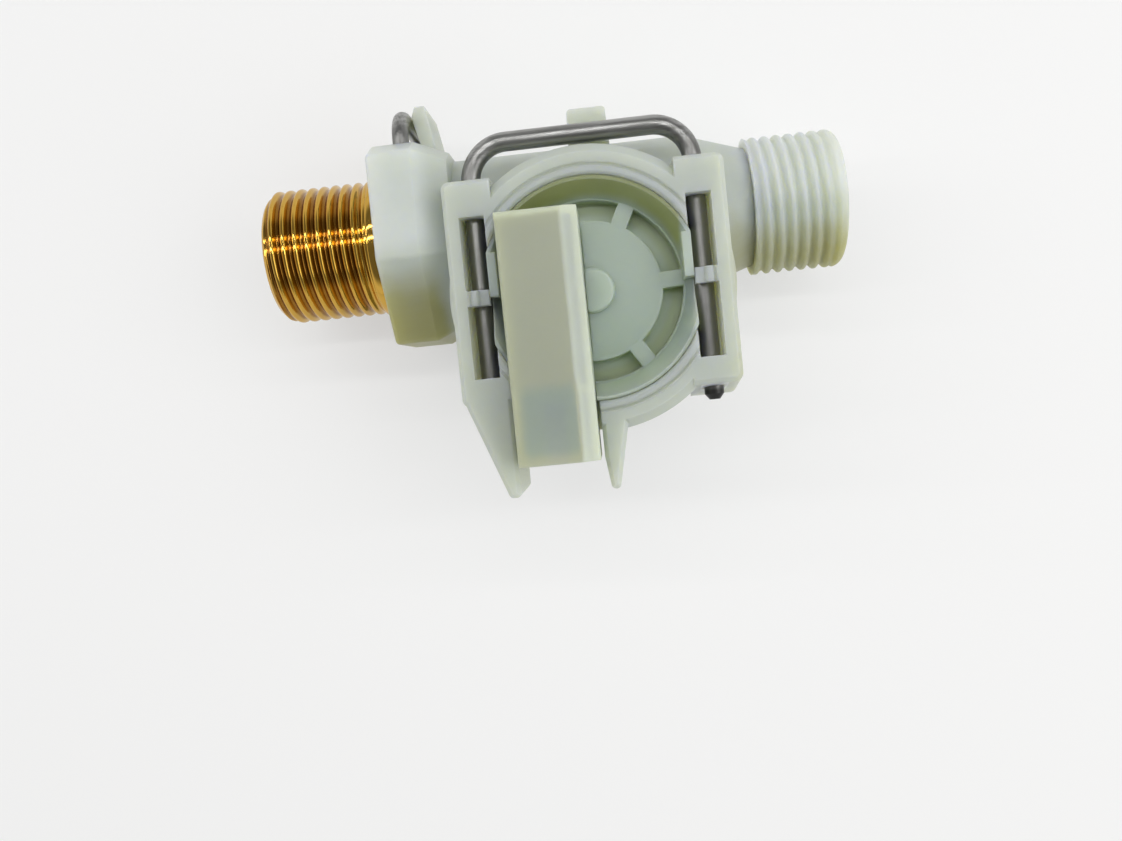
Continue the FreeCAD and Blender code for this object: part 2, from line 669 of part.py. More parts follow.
def cover_clip():
    """The large wire clip over the cover's flange."""
    legs = [at(-COVER_LEG_X, 0, COVER_WIRE_Z), at(COVER_LEG_X, 0, COVER_WIRE_Z)]
    return wire_clip(legs, AXIS_Y, COVER_LEG_TIP_Y, COVER_BRIDGE_Y, COVER_WIRE_R, COVER_BEND_R)


def nipple_clip():
    """The small wire clip in the groove of the nipple."""
    legs = [at(NIPPLE_CLIP_X, FLOW_Y, FLOW_Z + side * NIPPLE_LEG) for side in (-1, 1)]
    return wire_clip(legs, AXIS_Y, NIPPLE_CLIP_TIP, NIPPLE_CLIP_BRIDGE, NIPPLE_WIRE_R, NIPPLE_CLIP_BEND_R)


def inlet_nipple():
    """The brass nipple: threaded end, bead, hexagonal key and grooved plug."""
    bead_x = COLLAR_OUT_X - NIPPLE_BEAD - SEAT_GAP
    thread = rod(THREAD_R, NIPPLE_END_X, bead_x + EPS)
    thread = thread.makeChamfer(NIPPLE_CHAMFER, [e for e in thread.Edges
                                if e.Closed and abs(e.CenterOfMass.x - NIPPLE_END_X) < EPS])
    bead = rod(NIPPLE_BEAD_R, bead_x, COLLAR_OUT_X - SEAT_GAP)
    bead = rounded(bead, EDGE_R, lambda p, e: e.Closed)
    solid = thread.fuse([bead, hexagon(KEY_AF, COLLAR_OUT_X - SEAT_GAP - EPS, KEY_END_X),
                         rod(PLUG_R, KEY_END_X - EPS, PLUG_END_X)])
    clip_half = NIPPLE_WIRE_R + SEAT_GAP
    ring_half = NIPPLE_RING_GROOVE_W / 2
    clip_groove = rod(PLUG_R + 1, NIPPLE_CLIP_X - clip_half, NIPPLE_CLIP_X + clip_half)
    ring_groove = rod(PLUG_R + 1, NIPPLE_RING_X - ring_half, NIPPLE_RING_X + ring_half)
    grooves = [
        clip_groove.cut(rod(NIPPLE_CLIP_GROOVE_R, NIPPLE_END_X, 0)),
        ring_groove.cut(rod(NIPPLE_RING_GROOVE_R, NIPPLE_END_X, 0)),
        rod(NIPPLE_BORE_R, NIPPLE_END_X - 1, PLUG_END_X + 1),
        rod(FILTER_RIM_R + SEAT_GAP, NIPPLE_END_X - 1, NIPPLE_END_X + FILTER_RIM),
    ]
    return solid.cut(grooves).removeSplitter()


def nipple_o_ring():
    """The seal in the nipple's plug."""
    radius = (PLUG_R + SEAT_GAP + NIPPLE_RING_GROOVE_R) / 2
    return torus(radius, NIPPLE_RING_SECTION_R, flow(NIPPLE_RING_X), AXIS_X)


def inlet_filter():
    """The slotted cup that keeps grit off the turbine, seated in the mouth of the nipple."""
    rim = rod(FILTER_RIM_R, NIPPLE_END_X, NIPPLE_END_X + FILTER_RIM)
    cup = rod(FILTER_CUP_R, NIPPLE_END_X, NIPPLE_END_X + FILTER_CUP_L)
    inside = rod(FILTER_CUP_R - FILTER_WALL, NIPPLE_END_X - 1, NIPPLE_END_X + FILTER_CUP_L - FILTER_WALL)
    slot = box(NIPPLE_END_X + 2 * FILTER_RIM, NIPPLE_END_X + FILTER_CUP_L - FILTER_RIM,
               FLOW_Y, FLOW_Y + 2 * FILTER_CUP_R, FLOW_Z - FILTER_SLOT_W / 2, FLOW_Z + FILTER_SLOT_W / 2)
    return rim.fuse(cup).cut([inside] + spun(slot, FILTER_SLOTS, flow(0), AXIS_X))


def flow_nozzle():
    """The jet nozzle that narrows the flow before the blades, its end following the chamber's wall."""
    ring = rod(NOZZLE_R, SOCKET_END_X, NOZZLE_END_X - SEAT_GAP)
    funnel = Part.makeCone(NIPPLE_BORE_R, JET_R, NOZZLE_L, flow(SOCKET_END_X), AXIS_X)
    chamber = disc(CHAMBER_R, 0, FRONT_Z)
    plug = disc(PLUG_BORE_R, CAVITY_TOP_Z, FRONT_Z)
    return trimmed(ring, [funnel, chamber, plug])


def rotor_blade():
    """One curved blade: an arc band from the tube to the rim, bent back against the flow."""
    reach = ROTOR_R - ROTOR_TUBE_R / 2
    bend = reach / (2 * math.sin(math.radians(BLADE_LEAN)))
    centre = at(ROTOR_TUBE_R / 2 + reach / 2, -bend * math.cos(math.radians(BLADE_LEAN)))
    band = disc(bend + BLADE / 2, ROTOR_BASE_Z, ROTOR_TOP_Z - ROTOR_PLATE + EPS, centre.x, centre.y)
    band = band.cut(disc(bend - BLADE / 2, 0, FRONT_Z, centre.x, centre.y))
    quarter = box(ROTOR_TUBE_R / 2, ROTOR_R, -ROTOR_TUBE_R / 2, ROTOR_R, 0, FRONT_Z)
    return band.common(quarter).common(disc(ROTOR_R, 0, FRONT_Z))


def turbine_rotor():
    """The turbine: a tube on the shaft, curved blades and the plate that carries the magnets."""
    tube = disc(ROTOR_TUBE_R, ROTOR_BASE_Z, ROTOR_TOP_Z)
    plate = disc(ROTOR_PLATE_R, ROTOR_TOP_Z - ROTOR_PLATE, ROTOR_TOP_Z)
    solid = tube.fuse([plate] + spun(rotor_blade(), BLADE_COUNT, at(), AXIS_Z))
    seat = disc(MAGNET_R, ROTOR_TOP_Z - MAGNET_H, ROTOR_TOP_Z + 1, MAGNET_PITCH_R)
    bore = disc(SHAFT_R, 0, FRONT_Z)
    return solid.cut([bore] + spun(seat, MAGNET_COUNT, at(), AXIS_Z)).removeSplitter()


def rotor_magnets():
    """The magnets that the sensor counts, flush in the rotor's plate."""
    magnet = disc(MAGNET_R - EPS, ROTOR_TOP_Z - MAGNET_H, ROTOR_TOP_Z, MAGNET_PITCH_R)
    return Part.makeCompound(spun(magnet, MAGNET_COUNT, at(), AXIS_Z))


def rotor_shaft():
    """The steel shaft, fixed in the rotor and running in both bushes."""
    return disc(SHAFT_R, BUSH_LOW_Z + SHAFT_INSET, BUSH_HIGH_Z + BUSH_H - SHAFT_INSET)


def bush(z):
    """A plain bearing bush, one height up from its lower face."""
    return disc(BUSH_R, z, z + BUSH_H).cut(disc(SHAFT_R + RUNNING_GAP, 0, FRONT_Z))


def thrust_washer(z):
    """A thin washer between the rotor and a bush."""
    return disc(WASHER_R, z, z + WASHER).cut(disc(SHAFT_R + RUNNING_GAP, 0, FRONT_Z))


def sensor_housing():
    """The shell over the sensor board, with the open socket at its lower end and one bevelled long edge."""
    outline = [
        at(HOUSING_LEFT_X, SOCKET_MOUTH_Y, HOUSING_BASE_Z),
        at(HOUSING_LEFT_X, SOCKET_MOUTH_Y, HOUSING_FRONT_Z),
        at(HOUSING_RIGHT_X - HOUSING_BEVEL_W, SOCKET_MOUTH_Y, HOUSING_FRONT_Z),
        at(HOUSING_RIGHT_X, SOCKET_MOUTH_Y, HOUSING_FRONT_Z - HOUSING_BEVEL_H),
        at(HOUSING_RIGHT_X, SOCKET_MOUTH_Y, HOUSING_BASE_Z),
    ]
    shell = prism(outline, AXIS_Y * (HOUSING_TOP_Y - SOCKET_MOUTH_Y))
    front = HOUSING_FRONT_Z - EPS
    left = HOUSING_LEFT_X + EPS
    top = HOUSING_TOP_Y - EPS
    shell = rounded(shell, EDGE_R, lambda p, e: p.z > front and (p.x < left or p.y > top))
    x0 = HOUSING_LEFT_X + HOUSING_WALL
    x1 = HOUSING_RIGHT_X - HOUSING_WALL
    roof = HOUSING_FRONT_Z - HOUSING_WALL
    web_y = SOCKET_BACK_Y + HOUSING_WALL
    room = box(x0, x1, web_y, HOUSING_TOP_Y - HOUSING_WALL, HOUSING_BASE_Z - 1, roof)
    socket = box(x0, x1, SOCKET_MOUTH_Y - 1, SOCKET_BACK_Y, HOUSING_BASE_Z + HOUSING_WALL, roof)
    key = box(HOUSING_MID_X - PIN_PITCH / 2, HOUSING_MID_X + PIN_PITCH / 2, SOCKET_MOUTH_Y - 1,
              SOCKET_BACK_Y - HOUSING_WALL, roof - EPS, roof + HOUSING_WALL / 2)
    holes = [box(x - PIN_SIDE / 2 - EPS, x + PIN_SIDE / 2 + EPS, SOCKET_BACK_Y - 1, web_y + 1,
                 PIN_Z - EPS, PIN_Z + PIN_SIDE + EPS) for x in pin_places()]
    return trimmed(shell, [room, socket, key] + holes)


def pin_places():
    """The X of each contact pin."""
    first = HOUSING_MID_X - PIN_PITCH * (PIN_COUNT - 1) / 2
    return [first + PIN_PITCH * step for step in range(PIN_COUNT)]


def sensor_back_plate():
    """The plate that closes the housing, with the hollow snout that reaches down into the cover."""
    z0 = HOUSING_BASE_Z - BACK_PLATE
    plate = box(HOUSING_LEFT_X, HOUSING_RIGHT_X, SOCKET_MOUTH_Y, HOUSING_TOP_Y, z0, HOUSING_BASE_Z)
    ledge = box(HOUSING_LEFT_X + HOUSING_WALL + BOARD_GAP, HOUSING_RIGHT_X - HOUSING_WALL - BOARD_GAP,
                SOCKET_BACK_Y + HOUSING_WALL + BOARD_GAP, SOCKET_BACK_Y + 2 * HOUSING_WALL + BOARD_GAP,
                HOUSING_BASE_Z - EPS, BOARD_Z)
    far = ledge.copy()
    far.translate(at(y=HOUSING_TOP_Y - SOCKET_BACK_Y - 3 * HOUSING_WALL - 2 * BOARD_GAP))
    tip_z = FLANGE_TOP_Z - SNOUT_REACH + SEAT_GAP
    snout = box(SNOUT_X - SNOUT_W / 2, SNOUT_X + SNOUT_W / 2, SNOUT_Y - SNOUT_L / 2, SNOUT_Y + SNOUT_L / 2,
                tip_z, HOUSING_BASE_Z)
    hollow = box(SNOUT_X - SNOUT_W / 2 + SNOUT_WALL, SNOUT_X + SNOUT_W / 2 - SNOUT_WALL,
                 SNOUT_Y - SNOUT_L / 2 + SNOUT_WALL, SNOUT_Y + SNOUT_L / 2 - SNOUT_WALL,
                 tip_z + SNOUT_WALL, HOUSING_BASE_Z + 1)
    return plate.fuse([ledge, far, snout]).cut(hollow).removeSplitter()


def sensor_board():
    """The circuit board on its two ledges."""
    edge = HOUSING_WALL + BOARD_GAP
    return box(HOUSING_LEFT_X + edge, HOUSING_RIGHT_X - edge, SOCKET_BACK_Y + edge, HOUSING_TOP_Y - edge,
               BOARD_Z, BOARD_Z + BOARD)


def hall_sensor():
    """The Hall sensor at the bottom of the snout, on three legs from the board."""
    z0 = FLANGE_TOP_Z - SNOUT_REACH + 2 * SEAT_GAP + SNOUT_WALL
    case = box(SNOUT_X - HALL_W / 2, SNOUT_X + HALL_W / 2, SNOUT_Y - HALL_L / 2, SNOUT_Y + HALL_L / 2,
               z0, z0 + HALL_H)
    half = HALL_LEG / 2
    places = [SNOUT_X + step * HALL_LEG_PITCH for step in (-1, 0, 1)]
    foot = z0 + HALL_H - EPS
    legs = [box(x - half, x + half, SNOUT_Y - half, SNOUT_Y + half, foot, BOARD_Z) for x in places]
    return case.fuse(legs).removeSplitter()


def board_components():
    """The two small capacitors and the resistor on the board."""
    top = BOARD_Z + BOARD
    places = [
        (HOUSING_MID_X - CAPACITOR_X, CAPACITOR_Y, CAPACITOR),
        (HOUSING_MID_X + CAPACITOR_X, CAPACITOR_Y, CAPACITOR),
        (HOUSING_MID_X, RESISTOR_Y, RESISTOR),
    ]
    parts = []
    for x, y, (width, length, height) in places:
        parts.append(Part.makeBox(width, length, height, at(x - width / 2, y - length / 2, top)))
    return Part.makeCompound(parts)


def connector_pins():
    """The three contact pins, from the board through the web into the socket."""
    y0 = SOCKET_BACK_Y - PIN_REACH
    y1 = SOCKET_BACK_Y + HOUSING_WALL + PIN_TAIL
    pins = [box(x - PIN_SIDE / 2, x + PIN_SIDE / 2, y0, y1, PIN_Z, PIN_Z + PIN_SIDE) for x in pin_places()]
    return Part.makeCompound(pins)


def main():
    """Builds every piece and writes one file for each."""
    pieces = {
        "meter_body": meter_body(),
        "outlet_spigot": outlet_spigot(),
        "chamber_cover": chamber_cover(),
        "cover_o_ring": cover_o_ring(),
        "cover_clip": cover_clip(),
        "inlet_nipple": inlet_nipple(),
        "nipple_o_ring": nipple_o_ring(),
        "nipple_clip": nipple_clip(),
        "inlet_filter": inlet_filter(),
        "flow_nozzle": flow_nozzle(),
        "turbine_rotor": turbine_rotor(),
        "rotor_magnets": rotor_magnets(),
        "rotor_shaft": rotor_shaft(),
        "lower_bush": bush(BUSH_LOW_Z),
        "upper_bush": bush(BUSH_HIGH_Z),
        "lower_thrust_washer": thrust_washer(ROTOR_BASE_Z - SEAT_GAP - WASHER),
        "upper_thrust_washer": thrust_washer(ROTOR_TOP_Z + SEAT_GAP),
        "sensor_housing": sensor_housing(),
        "sensor_back_plate": sensor_back_plate(),
        "sensor_board": sensor_board(),
        "hall_sensor": hall_sensor(),
        "board_components": board_components(),
        "connector_pins": connector_pins(),
    }
    os.makedirs("parts", exist_ok=True)
    for name, shape in pieces.items():
        print(name, len(shape.Solids), round(shape.Volume, 1), shape.isValid())
        shape.exportStep(f"parts/{name}.step")


main()
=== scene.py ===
"""Looks of a turbine flow switch: its two pipe threads, its finishes and the stage it lies on."""

import json
import math

import bpy
import numpy as np
from bpy.props import FloatProperty, FloatVectorProperty, IntProperty, PointerProperty
from mathutils import Matrix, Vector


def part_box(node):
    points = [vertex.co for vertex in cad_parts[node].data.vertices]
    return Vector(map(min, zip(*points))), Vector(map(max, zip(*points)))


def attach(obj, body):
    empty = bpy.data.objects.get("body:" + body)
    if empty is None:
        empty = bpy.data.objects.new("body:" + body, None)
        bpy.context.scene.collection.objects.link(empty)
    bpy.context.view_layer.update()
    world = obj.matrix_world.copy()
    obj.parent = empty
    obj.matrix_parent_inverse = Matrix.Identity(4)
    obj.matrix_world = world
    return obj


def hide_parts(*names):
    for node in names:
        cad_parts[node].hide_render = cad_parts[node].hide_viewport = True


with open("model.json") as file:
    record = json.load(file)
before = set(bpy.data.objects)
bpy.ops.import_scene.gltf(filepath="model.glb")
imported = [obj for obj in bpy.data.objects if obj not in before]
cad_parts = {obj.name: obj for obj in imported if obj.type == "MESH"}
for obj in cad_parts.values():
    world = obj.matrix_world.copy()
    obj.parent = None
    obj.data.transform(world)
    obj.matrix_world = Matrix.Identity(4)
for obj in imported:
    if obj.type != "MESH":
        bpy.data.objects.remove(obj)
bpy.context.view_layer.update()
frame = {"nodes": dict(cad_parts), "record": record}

bl_info = {
    "name": "Flow switch looks",
    "version": (1, 0, 0),
    "blender": (4, 5, 0),
    "location": "View3D > Sidebar > Flow switch",
    "description": "Pipe threads, finishes and stage of a turbine flow switch",
    "category": "Add Mesh",
}

MM = 0.001

# The flow line and the thread's crest come from the inlet's mount, the two ends from the plain solids
MOUNTS = {mount["name"]: mount for mount in frame["record"]["mounts"]}
FLOW_Y, FLOW_Z = MOUNTS["inlet_thread"]["pos_m"][1:]
CREST = MOUNTS["inlet_thread"]["dims"]["r_mm"] * MM
NIPPLE_LOW, NIPPLE_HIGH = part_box("inlet_nipple")
OUTLET_LOW, OUTLET_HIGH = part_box("outlet_spigot")

# How far a thread runs out past its end or stops before it, and how wide a square step in a profile is
RUN_OUT = 0.2 * MM
SLIVER = 0.02 * MM
SHARP_ANGLE = math.radians(38.0)

# Spans over which the body's painted light and shade change, in millimetres; R is the distance from the
# chamber's axis
CHAMBER_WALL_R = (16.2, 17.4)
CHAMBER_MOUTH_Z = (27.0, 34.0)
CHAMBER_UPPER_Y = (-14.0, 8.0)
COLLAR_SIDE_X = (-24.0, -20.3)
COLLAR_UNDER_Y = (-1.5, 11.0)
COLLAR_FRONT_Z = (24.0, 28.0)
NECK_X = (17.0, 23.0)
OUTLET_X = (21.0, 25.0)
OUTLET_UNDER_Y = (1.0, 15.0)
UPPER_SIDE_Y = (4.0, 12.0)
TRACK_X = 16.0
TRACK_EDGE = (1.7, 2.1)
TRACK_LOW_Y = (-16.5, -15.5)
TRACK_HIGH_Y = (17.0, 18.0)
TRACK_FLOOR_Z = (24.0, 26.0)
TRACK_FACE_Z = (31.0, 32.8)

# Spans of the cover's painted light and shade, in millimetres; R is the distance from the chamber's axis
POCKET_Z = (24.5, 27.5)
POCKET_INNER_R = (10.6, 12.4)
POCKET_OUTER_R = (10.2, 12.2)
RIM_R = (12.8, 14.5)
RIM_UPPER_Y = (-12.0, 8.0)
RIM_SIDE_X = (12.6, 13.6)
RIM_Z = (26.0, 27.5)
LOWER_RIM_R = (12.6, 13.6)
LOWER_RIM_Y = (-13.0, -4.0)
LOWER_RIM_Z = (26.8, 28.4)

# Spans of the sensor housing's painted light and shade, in millimetres
SOCKET_LEFT_X = (-12.4, -10.0)
SOCKET_RIGHT_X = (-4.5, -2.5)
SOCKET_TOP_Y = (-15.0, -11.5)
SOCKET_END_Y = (-24.0, -21.5)
BEVEL_X = (-3.9, -2.9)
UPPER_END_Y = (9.6, 10.8)

# Spans of the two clips' tint and painted shade, and of the brass thread's tarnished roots with painted
# shade, in millimetres; R is the distance from the flow line
COVER_BEND_Y = (18.5, 22.0)
NIPPLE_BEND_Y = (26.5, 29.0)
WIRE_END_Y = (-16.2, -15.2)
THREAD_ROOT_R = (9.65, 10.3)
MOUTH_FACE_X = (-49.2, -48.4)

# The view, in pixels of the 1122 x 841 frame, right and up from its middle, and the flow line's slope in it
FOCAL_PIXELS = 1017.0
DEPTH_VANISHES = (-59.0, -40.5)
CHAMBER_SEEN = (34.0, 122.5)
FLOW_SLOPE = (0.9951, 0.0985)


def number(name, about, default, **more):
    """A number from 0 up that a user may change."""
    return FloatProperty(name=name, description=about, default=default, min=0.0, **more)


def length(name, about, default):
    """A size in metres that a user may change."""
    return number(name, about, default, precision=5, unit="LENGTH")


def place(name, about, default):
    """A place along the flow line, in metres."""
    return FloatProperty(name=name, description=about, default=default, precision=5, unit="LENGTH")


def spot(name, about, default):
    """A point in metres that a user may change."""
    return FloatVectorProperty(name=name, description=about, default=default, size=3, subtype="TRANSLATION",
                               unit="LENGTH")


def colour(name, about, default):
    """A colour that a user may change, as linear red, green and blue."""
    return FloatVectorProperty(name=name, description=about, default=default, size=3, min=0.0, max=1.0,
                               subtype="COLOR")


class ThreadSizes(bpy.types.PropertyGroup):
    """The pipe thread that both ends share."""

    crest: length("Crest radius", "Radius over the crests", CREST)
    pitch: length("Pitch", "Distance from crest to crest", 1.814 * MM)
    sides: IntProperty(name="Sides", description="Steps round the thread", default=144, min=24, max=400)
    steps: IntProperty(name="Steps", description="Steps along one pitch", default=14, min=6, max=40)


class NippleSizes(bpy.types.PropertyGroup):
    """The turned brass nipple at the inlet."""

    cut: length("Thread depth", "From the rounded crest to the rounded root", 0.80 * MM)
    mouth: place("Mouth", "Place of the open end", NIPPLE_LOW.x)
    chamfer: length("Chamfer", "Depth of the lead-in cone at the mouth", 1.1 * MM)
    bead_start: place("Bead start", "Where the thread meets the bead", -33.1 * MM)
    bead_end: place("Bead end", "Where the bead meets the collar", -31.1 * MM)
    bead_radius: length("Bead radius", "Radius of the bead", 10.9 * MM)
    bead_drop: length("Bead drop", "How far the bead falls to its sides", 0.55 * MM)
    key_end: place("Key end", "Inner end of the hexagonal key", -29.0 * MM)
    key_flats: length("Key flats", "Across the flats of the key", 22.0 * MM)
    key_corner: length("Key corner", "How far the key's corners may stand past its flats", 1.5 * MM)
    plug_end: place("Plug end", "Inner end of the plug", NIPPLE_HIGH.x)
    plug_radius: length("Plug radius", "Radius of the plug in the collar", 9.0 * MM)
    plug_bevel: length("Plug bevel", "Bevel of the plug's end", 0.4 * MM)
    bore_radius: length("Bore radius", "Radius of the water way", 5.25 * MM)
    bore_bevel: length("Bore bevel", "Bevel of the water way's two ends", 0.3 * MM)
    seat_radius: length("Seat radius", "Radius of the filter's seat", 7.3 * MM)
    seat_depth: length("Seat depth", "Depth of the filter's seat", 1.2 * MM)
    clip_place: place("Clip groove", "Middle of the groove for the wire clip", -26.6 * MM)
    clip_half: length("Clip groove half", "Half the width of that groove", 1.35 * MM)
    clip_root: length("Clip groove root", "Root radius of that groove", 7.3 * MM)
    seal_place: place("Seal groove", "Middle of the groove for the seal", -20.0 * MM)
    seal_half: length("Seal groove half", "Half the width of that groove", 1.35 * MM)
    seal_root: length("Seal groove root", "Root radius of that groove", 6.9 * MM)


class OutletSizes(bpy.types.PropertyGroup):
    """The threaded end moulded on the body."""

    cut: length("Thread depth", "From the rounded crest to the rounded root", 0.60 * MM)
    start: place("Start", "Where the neck meets the thread", OUTLET_LOW.x)
    end: place("End", "Place of the open end", OUTLET_HIGH.x)
    lead: length("Lead-in", "Radius of the rounded end", 1.6 * MM)
    bore: length("Bore", "Radius of the open bore", 6.4 * MM)
    bevel: length("Bevel", "Bevel of the open bore", 0.4 * MM)


class FinishColours(bpy.types.PropertyGroup):
    """The colours of the finishes."""

    # Painted light: the paler tint of the body's edges, upper sides and the cover clip's tracks
    natural_painted_light: colour("Natural plastic, thin", "Edges and outer faces of the body", (0.665, 0.71, 0.69))
    natural: colour("Natural plastic", "Unpigmented moulding of the body", (0.485, 0.53, 0.48))
    # Painted shade: the olive tint of the chamber's upper wall and of the undersides of the collar and the
    # outlet
    natural_painted_shade: colour("Natural plastic, deep", "The same, light gone far through it", (0.34, 0.335, 0.15))
    # Painted light: the paler tint of the cover's edges, lower rim and the inner side of its pockets
    cover_painted_light: colour("Cover plastic, thin", "Edges and lower rim of the cover", (0.56, 0.67, 0.48))
    cover: colour("Cover plastic", "Unpigmented moulding of the cover", (0.41, 0.49, 0.425))
    # Painted shade: the olive tint of the cover's upper rim
    cover_painted_shade: colour("Cover plastic, deep", "The same on its upper rim", (0.325, 0.365, 0.145))
    # Painted shade: the olive tint on the outer side of the cover's pockets
    cover_pocket_painted_shade: colour("Cover plastic, pockets", "The same in its pockets", (0.45, 0.55, 0.29))
    # Painted light: the paler tint of the sensor housing's edges, bevel and upper end
    cream_painted_light: colour("Sensor plastic, thin", "Edges of the sensor housing", (0.60, 0.67, 0.49))
    cream: colour("Sensor plastic", "Moulding of the sensor housing", (0.39, 0.415, 0.295))
    # Painted shade: the greyer tint over the socket's hollow
    cream_painted_shade: colour("Sensor plastic, deep", "The same over the hollow socket", (0.295, 0.355, 0.30))
    wire: colour("Spring wire", "Drawn steel of the clips", (0.40, 0.40, 0.39))
    # Besides the drawing marks, a dimmed copy of this colour is the painted shade on the clips' legs and at
    # their ends
    wire_dark: colour("Spring wire, dark", "Drawing marks on the wire", (0.20, 0.20, 0.19))
    brass: colour("Brass", "Turned brass of the nipple", (0.60, 0.36, 0.065))
    # Tarnish with painted shade: the colour of the darkened thread roots
    brass_dark: colour("Brass, dark", "Tarnish in the thread's roots", (0.27, 0.125, 0.02))
    rubber: colour("Rubber", "Seal rings", (0.02, 0.02, 0.021))
    white: colour("White plastic", "Filter, nozzle and rotor", (0.74, 0.75, 0.72))
    ferrite: colour("Ferrite", "Magnets", (0.045, 0.045, 0.05))
    steel: colour("Ground steel", "Rotor shaft", (0.6, 0.6, 0.6))
    bearing: colour("Bearing plastic", "Bushes and washers", (0.05, 0.05, 0.055))
    lacquer: colour("Board lacquer", "Circuit board", (0.02, 0.15, 0.06))
    chip: colour("Chip", "Hall sensor and board parts", (0.02, 0.02, 0.022))
    tin: colour("Tin", "Contact pins", (0.72, 0.71, 0.68))


class StageLook(bpy.types.PropertyGroup):
    """Floor, lamps and camera."""

    floor: colour("Floor", "Pale floor", (0.86, 0.86, 0.85))
    floor_reach: length("Floor reach", "From the middle of the floor to its sides", 1.5)
    pale: number("Pale share", "Share of white that the eye sees there", 0.5, max=1.0, subtype="FACTOR")
    strip: number("Strip lamps", "Power of each long lamp", 2.3, unit="POWER")
    strip_length: length("Strip length", "Length of each long lamp", 2.4)
    strip_width: length("Strip width", "Width of each long lamp", 0.022)
    near_spot: spot("Near strip", "Place of the nearer long lamp", (-0.05, 0.10, 0.52))
    far_spot: spot("Far strip", "Place of the farther long lamp", (-0.05, 0.28, 0.52))
    fill: number("Fill lamp", "Power of the broad lamp", 0.9, unit="POWER")
    fill_side: length("Fill side", "Side of the broad lamp", 0.4)
    fill_spot: spot("Fill place", "Place of the broad lamp", (0.40, -0.12, 0.36))
    sky: number("Ceiling", "Strength of the even light from above", 0.20)
    wall: number("Walls", "Strength of the pale horizon", 0.90)
    lens: number("Lens", "Focal length on a 36 mm frame", 32.63, unit="CAMERA")
    depth: length("Distance", "From the camera to the flow line's plane", 161.0 * MM)


class Signal:
    """A node's output that Python operators work on: values go through Math, a vector through Vector Math."""

    def __init__(self, recipe, socket):
        self.recipe = recipe
        self.socket = socket

    def math(self, operation, *operands):
        """One more Math node, on numbers and values."""
        return self.recipe.node("ShaderNodeMath", {"operation": operation}, dict(enumerate(operands)), 0)

    def __add__(self, other):
        return self.math("ADD", self, other)

    def __radd__(self, other):
        return self.math("ADD", other, self)

    def __sub__(self, other):
        return self.math("SUBTRACT", self, other)

    def __rsub__(self, other):
        return self.math("SUBTRACT", other, self)

    def __mul__(self, other):
        if self.socket.type == "VECTOR":
            return self.recipe.node("ShaderNodeVectorMath", {"operation": "SCALE"}, {0: self, 3: other}, 0)
        return self.math("MULTIPLY", self, other)

    __rmul__ = __mul__

    def __abs__(self):
        return self.math("ABSOLUTE", self)

    def root(self):
        """The square root of a value."""
        return self.math("SQRT", self)

    def least(self, other):
        """The smaller of two values."""
        return self.math("MINIMUM", self, other)

    def most(self, other):
        """The larger of two values."""
        return self.math("MAXIMUM", self, other)

    def step(self, low, high):
        """A smooth step from 0 at low to 1 at high."""
        settings = {"interpolation_type": "SMOOTHSTEP"}
        inputs = {0: self, 1: low, 2: high, 3: 0.0, 4: 1.0}
        return self.recipe.node("ShaderNodeMapRange", settings, inputs, 0)

    def fall(self, low, high):
        """A smooth step from 1 at low to 0 at high."""
        return 1.0 - self.step(low, high)

    def swing(self, width):
        """A noise around 0.5 as a swing around 0: less its middle, times the width."""
        return (self - 0.5) * width

    def between(self, first, second):
        """The first colour where this value is 0, the second where it is 1."""
        settings = {"data_type": "RGBA", "blend_type": "MIX", "clamp_factor": True}
        return self.recipe.node("ShaderNodeMix", settings, {0: self, 6: first, 7: second}, 2)


